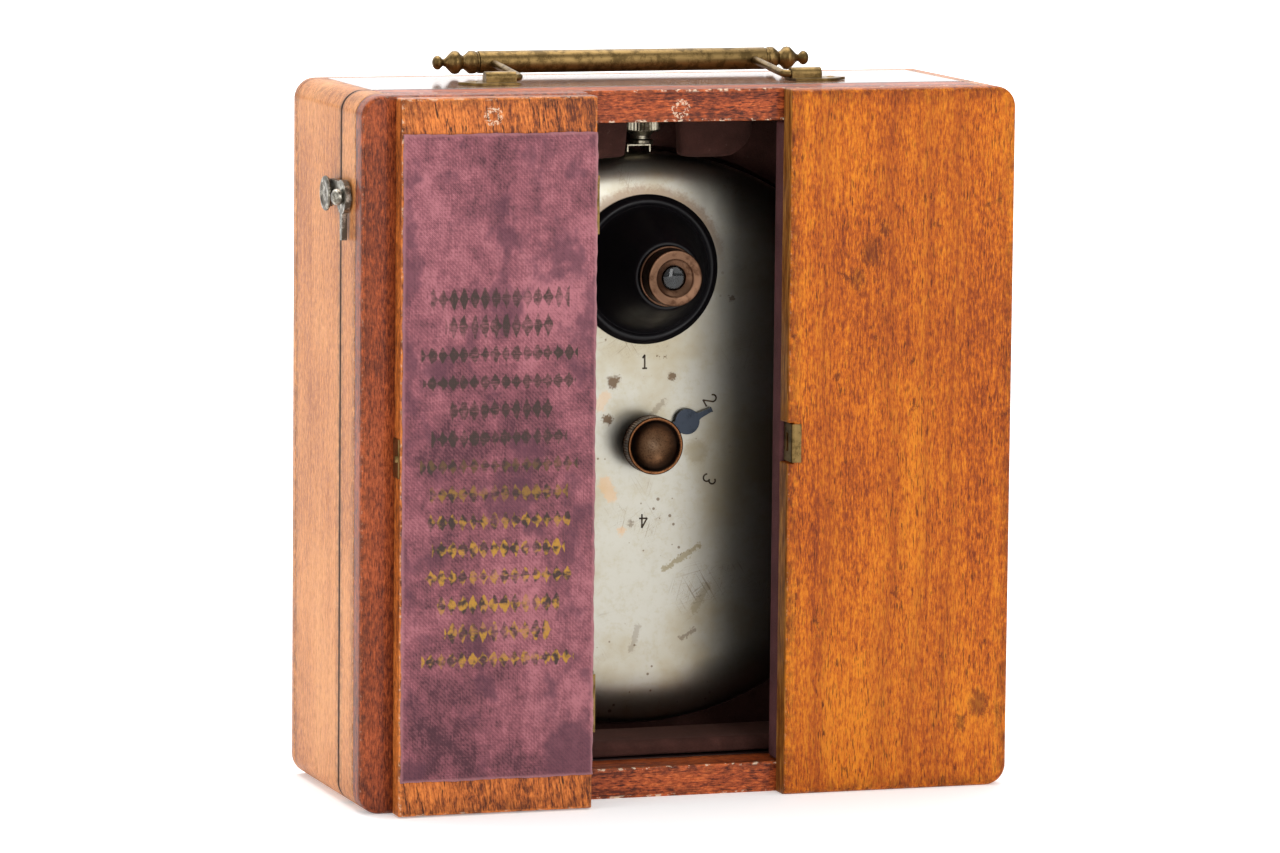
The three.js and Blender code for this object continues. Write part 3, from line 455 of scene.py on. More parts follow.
def disc_nickel(name):
    """Nickel plate worn by a century of handling: a warm film, a few spots and light scratches."""
    s = Shading(name)
    clean, warm, brown = srgb(178, 175, 164), srgb(160, 148, 120), srgb(84, 58, 32)
    cloud = s.cloud(0.03, detail=4, roughness=0.6)
    film = s.remap(cloud, 0.42, 0.62)
    colour = s.mix(film * 0.7, clean, warm)
    mottle = s.cloud(0.55, detail=5, roughness=0.7)
    colour = s.mix(s.remap(mottle, 0.46, 0.7) * 0.3, colour, warm)
    near = s.cloud(0.07, detail=3)
    specks = s.remap(s.cells(0.36) + near * 1.2, 0.54, 0.6, 1, 0)
    flat = s.vector("SUBTRACT", s.mm, tuple(DISC))
    lit_side = s.remap(s.split(flat)[0], 8, 30, 0.7, 0)
    colour = s.mix(specks * lit_side, colour, brown)
    crumbs = s.cloud(1.3, detail=4, roughness=0.7)
    wobble = (mottle - 0.5) * 3 + (crumbs - 0.5) * 3

    def mark(x, z, radius, tint, strength, length=0.0, turn=0.0):
        """A stain or scratch at a place on the face, counted from the middle of the disc."""
        u, v = along_and_across(s, s.vector("SUBTRACT", flat, (x, 0, z)), turn)
        u = s.math("MAXIMUM", s.math("ABSOLUTE", u) - length / 2, 0.0)
        away = s.math("SQRT", u * u + v * v) + wobble
        return s.mix(s.remap(away, radius * 0.5, radius, strength, 0), colour, tint)

    orange, olive = srgb(206, 142, 62), srgb(120, 104, 60)
    for given in (
        (-8.6, 16, 2.2, brown, 0.85), (7.7, 17, 1.4, brown, 0.8), (-10.2, 6, 1.7, brown, 0.85),
        (-9.8, -12.4, 2.2, orange, 0.3, 4, 120), (14.5, -3, 4.2, olive, 0.35),
        (-11.5, 11, 1.8, orange, 0.25, 3, 60), (3.5, 8.5, 1.0, brown, 0.35, 5, 50),
        (-3.5, -21.5, 1.1, brown, 0.5), (-6, -23.5, 1.4, orange, 0.35),
        (3.4, 22.5, 0.7, brown, 0.8), (5.6, 22.3, 0.6, brown, 0.8),
        (10.8, -31, 0.9, olive, 0.6, 11, 32), (12.6, -51.5, 0.8, brown, 0.5, 4, 28),
        (-2, -52, 1.0, brown, 0.3, 6, 75), (24, 37, 1.0, brown, 0.6),
        (16, -42, 1.4, olive, 0.4, 7, 60),
    ):
        colour = mark(*given)
    for angle, reach in ((35, 0.05), (-58, 0.03), (74, 0.04), (12, 0.04)):
        along, across = along_and_across(s, s.mm, angle)
        line = s.noise(s.join(along * reach, 0.0, across * 1.6), detail=1)
        thin = s.band(line, 0.5, 0.0, 0.006, 0.4)
        patch = s.remap(s.cloud(0.05 + 0.01 * reach, detail=2), 0.5, 0.62)
        colour = s.mix(thin * patch, colour, brown)
    from_lens = s.vector("SUBTRACT", s.mm, tuple(LENS))
    round_hood = s.remap(s.vector("LENGTH", from_lens) + wobble, 20.5, 23, 0.6, 0)
    above = s.remap(s.split(from_lens)[2], -6, 12)
    colour = s.mix(round_hood * above, colour, srgb(110, 74, 40))
    edge = s.remap(s.vector("LENGTH", flat) + (cloud - 0.5) * 18, 58, 76)
    colour = s.mix(edge * 0.2, colour, srgb(146, 138, 118))
    s.set({
        "Base Color": colour,
        "Metallic": 1.0,
        "Roughness": s.remap(mottle, 0.3, 0.7, 0.285, 0.315),
        "Normal": s.bump(cloud * 1.2 + mottle * 0.1, 0.08, 0.4),
    })
    return s.material


def along_and_across(s, place, degrees):
    """A point's place along and across a direction in the disc's plane."""
    c, d = math.cos(math.radians(degrees)), math.sin(math.radians(degrees))
    parts = s.split(place)
    x, z = parts[0], parts[2]
    along = x * c + z * d
    across = x * -d + z * c
    return along, across


def knob_bronze(name):
    """The knob: bright copper where fingers rub the rim; inside it a painted highlight leaves the
    middle lighter brown and painted shade darkens the dish towards the rim.
    """
    s = Shading(name)
    from_axis = s.vector("MULTIPLY", s.vector("SUBTRACT", s.mm, tuple(DISC)), (1, 0, 1))
    radius = s.vector("LENGTH", from_axis)
    cloud = s.cloud(0.5, detail=4, roughness=0.65)
    fine = s.cloud(3.0, detail=3, roughness=0.6)
    share = radius * 0.1 + (cloud - 0.5) * 0.08
    brown, copper = srgb(78, 54, 36), srgb(140, 92, 58)
    # Radial colours: lighter middle as a painted highlight, dark dish towards the rim as painted
    # shade, then the copper rim line.
    colour = s.ramp(share, (0.0, srgb(108, 86, 68)), (0.18, srgb(86, 64, 46)), (0.4, brown),
                    (0.52, srgb(54, 36, 24)), (0.66, srgb(34, 28, 24)), (0.71, copper),
                    (0.76, srgb(72, 48, 32)))
    colour = s.mix(s.remap(fine + cloud * 0.3, 0.62, 0.8, 0, 0.6), colour, srgb(44, 30, 22))
    s.set({
        "Base Color": colour,
        "Metallic": 1.0,
        "Roughness": s.remap(cloud, 0.3, 0.7, 0.29, 0.46),
        "Normal": s.bump(fine + cloud * 0.5, 0.03, 0.5),
    })
    return s.material


def velvet(name, colour, sheen, dusty=0.4):
    """Short dark pile, crushed in patches, with a little dust."""
    s = Shading(name)
    crush = s.cloud(0.12, detail=4, roughness=0.6)
    pile = s.cloud(4.0, detail=2)
    dust = s.remap(s.cloud(1.1, detail=5, roughness=0.8), 0.62, 0.72)
    tone = s.ramp(crush * 0.7 + pile * 0.3, (0.3, scaled(colour, 0.55)),
                  (0.55, colour), (0.8, scaled(colour, 1.7)))
    s.set({
        "Base Color": s.mix(dust * dusty, tone, srgb(150, 130, 116)),
        "Roughness": s.remap(crush, 0.3, 0.7, 0.85, 1.0),
        "Specular IOR Level": 0.1,
        "Sheen Weight": 0.4,
        "Sheen Roughness": 0.4,
        "Sheen Tint": (*sheen, 1),
        "Normal": s.bump(pile + crush * 0.8, 0.25, 0.7),
    })
    return s.material


def lining_cloth(name, low, high):
    """Faded mauve cloth with worn foil ornament in rows: lozenges and bars, and no lettering."""
    s = Shading(name)
    slub_across = s.noise(s.stretched(0.4, 1, 5.0), detail=3, roughness=0.6)
    slub_down = s.noise(s.stretched(5.0, 1, 0.4, (9, 0, 0)), detail=3, roughness=0.6)
    fade = s.noise(s.stretched(0.02, 0.02, 0.014), detail=4, roughness=0.6)
    rub = s.cloud(0.16, detail=5, roughness=0.72)
    thread = math.tau / 0.5
    warp = s.math("SINE", (s.x + slub_down * 0.3) * thread)
    weft = s.math("SINE", (s.z + slub_across * 0.3) * thread)
    weave = warp * weft
    twill = s.math("SINE", (s.x + s.z + rub * 0.6) * (math.tau / 1.1))
    tone = fade * 0.7 + slub_across * 0.25 + slub_down * 0.35 + rub * 0.6
    tone = tone + weave * 0.05 + twill * 0.03 - 0.46
    colour = s.ramp(tone, (0.32, srgb(76, 46, 54)), (0.48, srgb(134, 80, 88)),
                    (0.64, srgb(176, 112, 120)))
    stain = s.remap(s.noise(s.stretched(0.07, 0.07, 0.05, (3, 0, 0)), detail=4, roughness=0.65),
                    0.5, 0.62)
    colour = s.mix(stain * 0.7, colour, srgb(88, 54, 66))
    foil, gilt = foil_rows(s, (low.x + high.x) / 2)
    worn = foil * s.remap(rub + slub_across * 0.4, 0.62, 0.9, 1, 0.3)
    colour = s.mix(worn * 0.95, colour, gilt)
    border = s.edge_distance(low, high)
    colour = s.mix(s.remap(border, 0.1, 1.0, 0.45, 0), colour, srgb(196, 136, 140))
    s.set({
        "Base Color": colour,
        "Roughness": s.remap(rub, 0.3, 0.7, 0.72, 0.9),
        "Specular IOR Level": 0.25,
        "Sheen Weight": 0.35,
        "Sheen Roughness": 0.35,
        "Sheen Tint": (0.95, 0.75, 0.78, 1),
        "Normal": s.bump(weave * 0.5 + slub_across + slub_down, 0.12, 0.8),
    })
    return s.material


def foil_rows(s, middle):
    """Where worn foil ornament lies on the cloth, and its colour."""
    top, pitch, count = 136.0, 7.1, 14
    place = s.math("DIVIDE", s.math("SUBTRACT", top, s.z), pitch)
    row = s.math("FLOOR", place)
    v = (s.math("FRACT", place) - 0.5) * pitch
    chance = s.node("ShaderNodeTexWhiteNoise", noise_dimensions="1D")
    s.put(chance.inputs["W"], row)
    chance = s.result(chance, "Value")
    inside = s.math("GREATER_THAN", place, 0.0) * s.math("LESS_THAN", place, float(count))
    from_middle = s.math("ABSOLUTE", s.x - middle)
    reach = s.remap(chance, 0, 1, 14, 21)
    inside = inside * s.math("LESS_THAN", from_middle, reach)
    height = s.remap(chance, 0, 1, 2.6, 1.9) * s.remap(row, 0, 3, 1.25, 1)
    wobble = s.noise(s.join(s.x * 0.9, row * 7.3, 0.0), detail=2)
    u = s.math("FRACT", s.x * 0.36 + wobble * 0.7) - 0.5
    lozenge = s.math("ABSOLUTE", u) * 2.2 + s.math("DIVIDE", s.math("ABSOLUTE", v), height)
    ring = s.band(lozenge, 0.72, 0.28, 0.4)
    upright = s.remap(s.math("ABSOLUTE", u), 0.1, 0.18, 1, 0)
    upright = upright * s.math("LESS_THAN", s.math("ABSOLUTE", v), height * 0.8)
    mark = s.math("MAXIMUM", ring, upright) * inside
    low_rows = s.remap(row, 5, 9)
    gleam = s.remap(s.cloud(0.5, detail=2), 0.42, 0.6)
    colour = s.mix(low_rows * gleam, srgb(62, 52, 46), srgb(182, 136, 52))
    return mark, colour


def lacquer(name, colour, roughness):
    """Black stoving lacquer with rub marks and settled dust."""
    s = Shading(name)
    haze = s.cloud(0.3, detail=4, roughness=0.6)
    grit = s.remap(s.cloud(2.4, detail=3, roughness=0.7), 0.62, 0.74)
    s.set({
        "Base Color": s.mix(grit * 0.04, colour, srgb(120, 104, 96)),
        "Roughness": s.remap(haze, 0.3, 0.7, *roughness),
        "Specular IOR Level": 0.22,
        "Normal": s.bump(haze, 0.05, 0.4),
    })
    return s.material


def dark_tinted_glass(name):
    s = Shading(name)
    smear = s.cloud(0.6, detail=3)
    s.set({
        # The dark base colour tints what shows through: painted shade that keeps the lens dark from
        # the front, where the real glass is clear.
        "Base Color": (0.1, 0.11, 0.12, 1),
        "Roughness": s.remap(smear, 0.3, 0.8, 0.0, 0.01),
        "IOR": 1.52,
        "Transmission Weight": 1.0,
    })
    return s.material


def engraving(name):
    """Dark filling of the engraved numerals, thin in places."""
    s = Shading(name)
    wear = s.cloud(1.8, detail=3, roughness=0.7)
    s.set({
        "Base Color": s.ramp(wear, (0.35, srgb(26, 20, 14)), (0.75, srgb(92, 68, 40))),
        "Roughness": 0.6,
        "Metallic": 0.2,
    })
    return s.material


make_camera()
make_stage()

BRASS = metal("aged_brass", srgb(128, 104, 64), srgb(90, 72, 42), (0.32, 0.48), patina=0.6)
DARK_NICKEL = metal("dark_nickel", srgb(178, 173, 160), srgb(96, 90, 80), (0.29, 0.5), patina=0.8,
                    scale=0.5)
PLAIN_NICKEL = metal("small_nickel", srgb(176, 168, 148), srgb(108, 98, 78), (0.29, 0.45))
STEEL = metal("bright_steel", srgb(176, 178, 180), srgb(120, 118, 112), (0.29, 0.42), patina=0.3)
BLUED = metal("blued_steel", srgb(66, 72, 82), srgb(54, 59, 66), (0.42, 0.5), patina=0.4,
              speckle=0.1)
BRONZE = metal("brown_bronze", srgb(108, 80, 62), srgb(76, 52, 38), (0.29, 0.4), patina=0.5,
               scale=0.25, speckle=0.5)
KNOB_BRONZE = knob_bronze("knob_bronze")
LACQUER = lacquer("black_lacquer", (0.005, 0.004, 0.005), (0.29, 0.4))
DULL_BLACK = lacquer("dull_black", (0.02, 0.018, 0.018), (0.5, 0.7))
GLASS = dark_tinted_glass("lens_glass")
ENGRAVED = engraving("engraved_fill")
DISC_PLATE = disc_nickel("disc_nickel")
VELVET = velvet("dark_velvet", srgb(78, 50, 44), srgb(140, 104, 92))
# Painted light: the lid pads get a lighter copy of the dark velvet, so that their edges and their
# reflection in the disc look lit.
LIGHTER_PAD_VELVET = velvet("lighter_pad_velvet", srgb(92, 58, 58), srgb(150, 108, 112), 0.05)

MATERIAL_OF_SLOT = {
    "velvet": VELVET, "brass": BRASS, "dark_nickel": DARK_NICKEL, "nickel": PLAIN_NICKEL,
    "steel": STEEL, "blued_steel": BLUED, "bronze": BRONZE, "black_lacquer": LACQUER,
    "glass": GLASS,
}


# ------------------------------------------------------------------ mesh helpers
def mesh_object(name, points, faces):
    """A new object from points in millimetres."""
    mesh = bpy.data.meshes.new(name)
    mesh.from_pydata([tuple(c * MM for c in p) for p in points], [], faces)
    return add_object(name, mesh)


def edit(obj, work=None):
    """Runs work(bm) on an object's mesh and leaves its faces pointing outwards."""
    bm = bmesh.new()
    bm.from_mesh(obj.data)
    if work:
        work(bm)
    bmesh.ops.recalc_face_normals(bm, faces=bm.faces)
    bm.to_mesh(obj.data)
    bm.free()


def smooth(obj, degrees=35):
    obj.data.shade_smooth()
    obj.data.set_sharp_from_angle(angle=math.radians(degrees))


def weight_normals(obj):
    obj.modifiers.new("flat_faces", "WEIGHTED_NORMAL").keep_sharp = True


def piece(obj, material, body, slot, *nodes):
    """Gives an object its finish and body, and hides the CAD nodes that it stands for."""
    obj.data.materials.clear()
    obj.data.materials.append(material)
    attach(obj, body)
    if nodes:
        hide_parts(*nodes)
    return obj


def stands_for(obj, node, material=None):
    slot = SLOT_OF[node]
    return piece(obj, material or MATERIAL_OF_SLOT[slot], BODY_OF[node], slot, node)


def soft_edges(bm, width, segments, degrees):
    """Rounds every edge that is sharper than an angle."""
    sharp = [
        e for e in bm.edges
        if len(e.link_faces) == 2 and e.calc_face_angle(0) > math.radians(degrees)
    ]
    bmesh.ops.bevel(
        bm, geom=sharp, offset=width * MM, offset_type="OFFSET", segments=segments,
        profile=0.5, affect="EDGES", clamp_overlap=True,
    )


def refined(node, width, segments, material=None, degrees=25):
    """A cleaned copy of a CAD solid with rounded edges, which stands for it."""
    obj = add_object(node + "_fine", frame["nodes"][node].data.copy())
    obj.data.name = obj.name

    def work(bm):
        bmesh.ops.remove_doubles(bm, verts=bm.verts, dist=1e-6)
        bmesh.ops.dissolve_limit(
            bm, angle_limit=math.radians(0.3), verts=bm.verts, edges=bm.edges,
        )
        soft_edges(bm, width, segments, degrees)

    edit(obj, work)
    smooth(obj)
    weight_normals(obj)
    return stands_for(obj, node, material)


def filleted(profile, radius, steps=3):
    """A profile whose corners are rounded, except where it meets the axis."""
    closed = profile[0][0] > 0
    count = len(profile)
    out = []
    for i, (r, a) in enumerate(profile):
        if not closed and i in (0, count - 1):
            out.append((r, a))
            continue
        here = Vector((r, a))
        before = Vector(profile[i - 1]) - here
        after = Vector(profile[(i + 1) % count]) - here
        if before.angle(after, math.pi) > math.radians(168):
            out.append((r, a))
            continue
        start = here + before.normalized() * min(radius, before.length * 0.45)
        end = here + after.normalized() * min(radius, after.length * 0.45)
        for step in range(steps + 1):
            t = step / steps
            point = start * (1 - t) ** 2 + here * 2 * t * (1 - t) + end * t ** 2
            out.append((point.x, point.y))
    return out


def turned(name, profile, centre, axis="y", segments=96, knurl=None):
    """A turned solid about an axis through centre. profile is (radius, distance along the axis).
    knurl(radius, along, turn) may change the radius round the axis."""
    closed = profile[0][0] > 0
    points, rings, faces = [], [], []
    for radius, along in profile:
        ring = []
        for k in range(1 if radius == 0 else segments):
            angle = k / segments * math.tau
            r = knurl(radius, along, angle) if knurl else radius
            c, d = r * math.cos(angle), r * math.sin(angle)
            local = {"x": (along, c, d), "y": (c, along, d), "z": (c, d, along)}[axis]
            ring.append(len(points))
            points.append(Vector(local) + centre)
        rings.append(ring)
    pairs = list(zip(rings, rings[1:] + rings[:1] if closed else rings[1:]))
    for one, two in pairs:
        for k in range(segments):
            n = (k + 1) % segments
            if len(one) == 1:
                faces.append((one[0], two[k], two[n]))
            elif len(two) == 1:
                faces.append((one[k], two[0], one[n]))
            else:
                faces.append((one[k], two[k], two[n], one[n]))
    obj = mesh_object(name, points, faces)
    edit(obj)
    smooth(obj, 40)
    return obj


def prism_faces(count, first=0):
    """The ends and sides of a prism whose points are numbered from first, one end after the
    other."""
    ends = [tuple(range(first + k, first + k + count)) for k in (0, count)]
    sides = []
    for i in range(first, first + count):
        j = first + (i - first + 1) % count
        sides.append((i, j, count + j, count + i))
    return ends + sides


def rotated(points, angle):
    """Points of a plane turned about its origin by an angle in radians."""
    c, d = math.cos(angle), math.sin(angle)
    return [(u * c - v * d, u * d + v * c) for u, v in points]


def knurled(teeth, deep, least, low, high):
    """What turned() takes to cut straight teeth where a side is past a radius, between two
    distances along the axis."""
    def radius_at(radius, along, angle):
        side = radius > least and low < along < high
        return radius - (deep * (0.5 + 0.5 * math.cos(angle * teeth)) if side else 0)
    return radius_at


def extruded(name, outline, axis, near, far, width=0.15):
    """An outline given a thickness along an axis, with softened edges."""
    place = {
        "x": lambda u, v, w: (w, u, v),
        "y": lambda u, v, w: (u, w, v),
        "z": lambda u, v, w: (u, v, w),
    }[axis]
    points = [place(u, v, w) for w in (near, far) for u, v in outline]
    obj = mesh_object(name, points, prism_faces(len(outline)))

    def work(bm):
        bmesh.ops.recalc_face_normals(bm, faces=bm.faces)
        if width:
            soft_edges(bm, width, 2, 40)

    edit(obj, work)
    smooth(obj)
    weight_normals(obj)
    return obj


def joined(first, *others):
    """Merges the meshes of several objects into the first."""
    bm = bmesh.new()
    for obj in (first, *others):
        bm.from_mesh(obj.data)
    bm.to_mesh(first.data)
    bm.free()
    for obj in others:
        bpy.data.objects.remove(obj)
    smooth(first)
    return first


def carved(obj, cutter):
    """Cuts one closed solid out of another."""
    cut = obj.modifiers.new("cut", "BOOLEAN")
    cut.operation, cut.solver, cut.object = "DIFFERENCE", "EXACT", cutter
    view = bpy.context.evaluated_depsgraph_get()
    mesh = bpy.data.meshes.new_from_object(obj.evaluated_get(view))
    obj.modifiers.remove(cut)
    obj.data = mesh
    bpy.data.objects.remove(cutter)
    smooth(obj)
    return obj


def tube_along(name, points, radius):
    """A round bar along a line of points, closed at both ends."""
    sides = 20
    points = [Vector(p) for p in points]
    rings = []
    side = Vector((0, 0, 1))
    for i, here in enumerate(points):
        ahead = (points[min(i + 1, len(points) - 1)] - points[max(i - 1, 0)]).normalized()
        side = (side - ahead * side.dot(ahead)).normalized()
        other = ahead.cross(side)
        rings.append([
            here + (side * math.cos(k / sides * math.tau) + other * math.sin(k / sides * math.tau))
            * radius
            for k in range(sides)
        ])
    flat = [p for ring in rings for p in ring]
    faces = [tuple(range(sides)), tuple(range(len(flat) - sides, len(flat)))]
    for i in range(len(rings) - 1):
        for k in range(sides):
            n = (k + 1) % sides
            a, b = i * sides, (i + 1) * sides
            faces.append((a + k, a + n, b + n, b + k))
    obj = mesh_object(name, flat, faces)
    edit(obj)
    smooth(obj, 50)
    return obj


# ------------------------------------------------------------------ case boards
def board_wood(node, palette, **options):
    return wood(node + "_wood", palette, corners(node), **options)


def make_boards():
    """Every bare board of the case, each with its own cut of timber."""
    upright = dict(pith=(0, 140), growth=0.9, fleck=0.35, dark_inside=True)
    across = dict(grain="x", pith=(40, 90), growth=0.7, dark_inside=True)
    rail = dict(grain="x", pith=(60, 90), growth=0.7, fleck=0.9, chips=0.9, streaks=0.5)
    seal_height = CASE_HIGH.z - 5
    boards = {
        "tray_side_left": ("pale", dict(upright, stains=0.1, gloss=0.1)),
        "tray_side_right": ("pale", dict(upright, seed=1.3)),
        "tray_top": ("top", dict(across, fleck=0.6, gloss=1.0, seed=2.1)),
        "tray_bottom": ("pale", dict(across, fleck=0.4, seed=3.7)),
        "tray_back_board": ("pale", dict(pith=(20, 60), growth=0.5, fleck=0.4, seed=4.2)),
        "lid_side_left": ("pale", dict(upright, seed=5.4, gloss=0.1)),
        "lid_side_right": ("pale", dict(upright, seed=6.6)),
        "lid_rail_top": ("red", dict(rail, seed=7.9, seal=(-1.6, seal_height))),
        "lid_rail_bottom": ("red", dict(rail, seed=8.8)),
        "lid_panel_left": ("strip", dict(pith=(-60, 60), growth=0.6, fleck=0.6, seed=9.5)),
        "lid_panel_right": ("orange", dict(
            pith=(52, 45), growth=0.32, fleck=0.8, stains=0.8, gloss=0.1, streaks=0.35,
            veins=(36.5, 54, 63, 71), weathered=OPENING_RIGHT,
            spots=((48.5, 141, 3.2), (45, 134, 2.4), (52, 147, 1.6), (41.5, 135, 0.8),
                   (39.5, 109, 0.8), (61, 101, 0.7), (80, 22, 3), (75, 17, 1.8), (56.5, 52, 1)),
        )),
        "door_board": ("door", dict(
            pith=(-110, 50), growth=0.6, fleck=0.95, slant=0.14, wear=0.7, chips=0.5,
            streaks=0.6, seed=11.2, seal=(-56, seal_height),
        )),
    }
    for node, (palette, options) in boards.items():
        refined(node, 0.35, 3, board_wood(node, palette, **options))


# ------------------------------------------------------------------ fabric
def fabric_noise(points, scale, seed):
    """Smooth random heights for an array of points, the same on every run."""
    rng = np.random.default_rng(seed)
    total = np.zeros(len(points))
    for octave in range(3):
        for _ in range(6):
            direction = rng.normal(size=3)
            direction /= np.linalg.norm(direction)
            phase = rng.uniform(0, math.tau)
            finer = 2 ** octave
            total += np.sin(points @ direction * math.tau * scale * finer + phase) / finer
    return total / 6


def velvet_board(node, height=0.12, seed=1, material=VELVET):
    """A board under velvet: soft edges and a slightly uneven surface."""
    obj = refined(node, 1.1, 4, material)

    def work(bm):
        long = [e for e in bm.edges if e.calc_length() > 6 * MM]
        bmesh.ops.subdivide_edges(bm, edges=long, cuts=3, use_grid_fill=True)

    edit(obj, work)
    points = np.array([v.co for v in obj.data.vertices]) / MM
    normals = np.array([v.normal for v in obj.data.vertices])
    lift = fabric_noise(points, 1 / 38, seed)[:, None] * height - height
    moved = (points + normals * lift) * MM
    obj.data.vertices.foreach_set("co", moved.astype(np.float32).ravel())
    smooth(obj)
    return obj


def grid_sheet(name, low, high, cuts, shape):
    """A cloth facing -Y, as a grid of points that shape(u, v, x, z) moves to (x, y, z)."""
    across, down = cuts
    points, faces = [], []
    for j in range(down + 1):
        for i in range(across + 1):
            u, v = i / across, j / down
            x, z = low.x + (high.x - low.x) * u, low.z + (high.z - low.z) * v
            points.append(shape(u, v, x, z))
    for j in range(down):
        for i in range(across):
            a = j * (across + 1) + i
            faces.append((a, a + 1, a + across + 2, a + across + 1))
    return mesh_object(name, points, faces)


def make_door_cloth():
    """The lining glued to the door's inner face, its edges a little frayed and puckered."""
    low, high = corners("door_cloth")
    rng = np.random.default_rng(4)
    phases = rng.uniform(0, math.tau, 12)

    wide, tall = 51, 165

    def ragged(t, length, k):
        """Small uneven steps of a cut edge, t along it."""
        s = t * length
        return 0.1 * math.sin(s * 0.31 + phases[k]) + 0.07 * math.sin(s * 1.3 + phases[k + 4])

    front, back = low.y + 0.12, high.y

    def shape(u, v, x, z):
        left = ragged(v, tall, 0) * max(0, 1 - u * 12)
        right = ragged(v, tall, 1) * max(0, 1 - (1 - u) * 12)
        bottom = ragged(u, wide, 2) * max(0, 1 - v * 40)
        top = ragged(u, wide, 3) * max(0, 1 - (1 - v) * 40)
        near_edge = min(u * wide, (1 - u) * wide, v * tall, (1 - v) * tall)
        droop = math.exp(-near_edge / 0.5)
        pucker = 0.05 * math.sin(z * 0.22 + phases[8]) * math.sin(x * 0.19 + phases[9])
        y = front + (back - front - 0.25) * droop * 0.5 + pucker * (1 - droop)
        return (x + left + right, y, z + top + bottom)

    cloth = grid_sheet("door_lining", low, high, (64, 200), shape)
    thick = cloth.modifiers.new("thickness", "SOLIDIFY")
    thick.thickness, thick.offset = 0.22 * MM, -1
    smooth(cloth, 60)
    stands_for(cloth, "door_cloth", lining_cloth("lining_cloth", low, high))


def make_top_pads():
    """Two small stuffed pads that hang from the top board either side of the clasp."""
    for side, node in (("left", "top_pad_left"), ("right", "top_pad_right")):
        pad = stuffed(f"hanging_pad_{side}", node)
        stands_for(pad, node)


def stuffed(name, node):
    """A small cushion inflated by cloth simulation from a CAD pad, at ten times its size."""
    big = 10.0
    low, high = (c * MM for c in corners(node))
    centre = (low + high) / 2
    obj = add_object(name, frame["nodes"][node].data.copy())
    shrink = 0.94
    for v in obj.data.vertices:
        v.co = (v.co - centre) * big * shrink
    remesh = obj.modifiers.new("even", "REMESH")
    remesh.mode, remesh.voxel_size = "VOXEL", 0.011
    cloth = obj.modifiers.new("fabric", "CLOTH")
    cloth.settings.use_pressure = True
    cloth.settings.uniform_pressure_force = 5
    cloth.settings.quality = 5
    cloth.settings.effector_weights.gravity = 0
    for step in range(1, 19):
        bpy.context.scene.frame_set(step)
    view = bpy.context.evaluated_depsgraph_get()
    mesh = bpy.data.meshes.new_from_object(obj.evaluated_get(view))
    obj.modifiers.clear()
    obj.data = mesh
    bpy.context.scene.frame_set(1)
    points = np.array([v.co for v in mesh.vertices], float)
    half = np.array((high - low) / 2 * big)
    grown = 1 + 0.35 * fabric_noise(points / big / MM, 1 / 14, 7)[:, None] * 0.12
    points = np.clip(points * grown, -half * 1.04, half * 1.04) / big + np.array(centre)
    mesh.vertices.foreach_set("co", points.astype(np.float32).ravel())
    relax = obj.modifiers.new("relax", "SMOOTH")
    relax.iterations, relax.factor = 6, 0.5
    obj.modifiers.new("finer", "SUBSURF").levels = 1
    smooth(obj, 80)
    return obj


# ------------------------------------------------------------------ camera
def out(*pairs):
    """A profile given as (radius, distance in front of the disc's face), as the frame has it."""
    return [(radius, -distance) for radius, distance in pairs]


def arc(radius, start, end, steps, centre=(0, 0)):
    """Points on a circle between two angles in degrees."""
    return [
        (centre[0] + radius * math.cos(math.radians(start + (end - start) * k / steps)),
         centre[1] + radius * math.sin(math.radians(start + (end - start) * k / steps)))
        for k in range(steps + 1)
    ]


def make_shell():
    """The nickelled disc: a flat face that curves back to a straight rim, with the lens hole and,
    under the rim, the ear and pin that carry the release lever."""
    flat, depth, sheet = 60.0, 6.8, 0.8
    back = SHELL_HIGH.y - DISC.y
    dome = []
    inner = []
    for k in range(13):
        angle = k / 12 * math.pi / 2
        reach = (DISC_RADIUS - flat) * math.sin(angle)
        dome.append((flat + reach, depth * (1 - math.cos(angle))))
        inner.append((
            flat + reach - sheet * math.sin(angle),
            sheet + (depth - sheet / 2) * (1 - math.cos(angle)),
        ))
    profile = [(2.4, 0), (30, 0), *dome, (DISC_RADIUS, back - 0.15), (DISC_RADIUS - 0.15, back)]
    profile += [(DISC_RADIUS - sheet, back), *reversed(inner), (30, sheet), (2.4, sheet)]
    shell = turned("disc_shell", profile, DISC, segments=180)
    carved(shell, turned("hole", [(0, -2), (15, -2), (15, 4), (0, 4)], LENS, segments=64))
    low, high = corners("release_lever")
    x, z = high.x - (high.z - low.z) / 2, (low.z + high.z) / 2
    ear = extruded(
        "ear", [(x - 1.8, z - 1.6), (x + 1.8, z - 1.6), (x + 1.8, z + 4), (x - 1.8, z + 4)],
        "y", high.y + 0.5, high.y + 1.5,
    )
    pin = turned("pin", filleted([(0, low.y - 0.3), (0.8, low.y - 0.3), (0.8, high.y + 1),
                                  (0, high.y + 1)], 0.2, 2), Vector((x, 0, z)), segments=24)
    joined(shell, ear, pin)
    weight_normals(shell)
    stands_for(shell, "front_shell", DISC_PLATE)


def make_cover():
    """The back cover, a shallow dish whose rim slides inside the shell's."""
    low, high = corners("back_cover")
    radius, back, front = (high.x - low.x) / 2, high.y - DISC.y, low.y - DISC.y
    inside = radius - 0.7
    cover = turned("disc_cover", filleted([
        (0, back), (radius - 1.5, back), (radius - 0.4, back - 0.4), (radius, back - 1.2),
        (radius, front), (inside, front), (inside, back - 1.6), (inside - 0.8, back - 0.8),
        (0, back - 0.8),
    ], 0.25, 2), DISC, segments=180)
    stands_for(cover, "back_cover", DISC_PLATE)


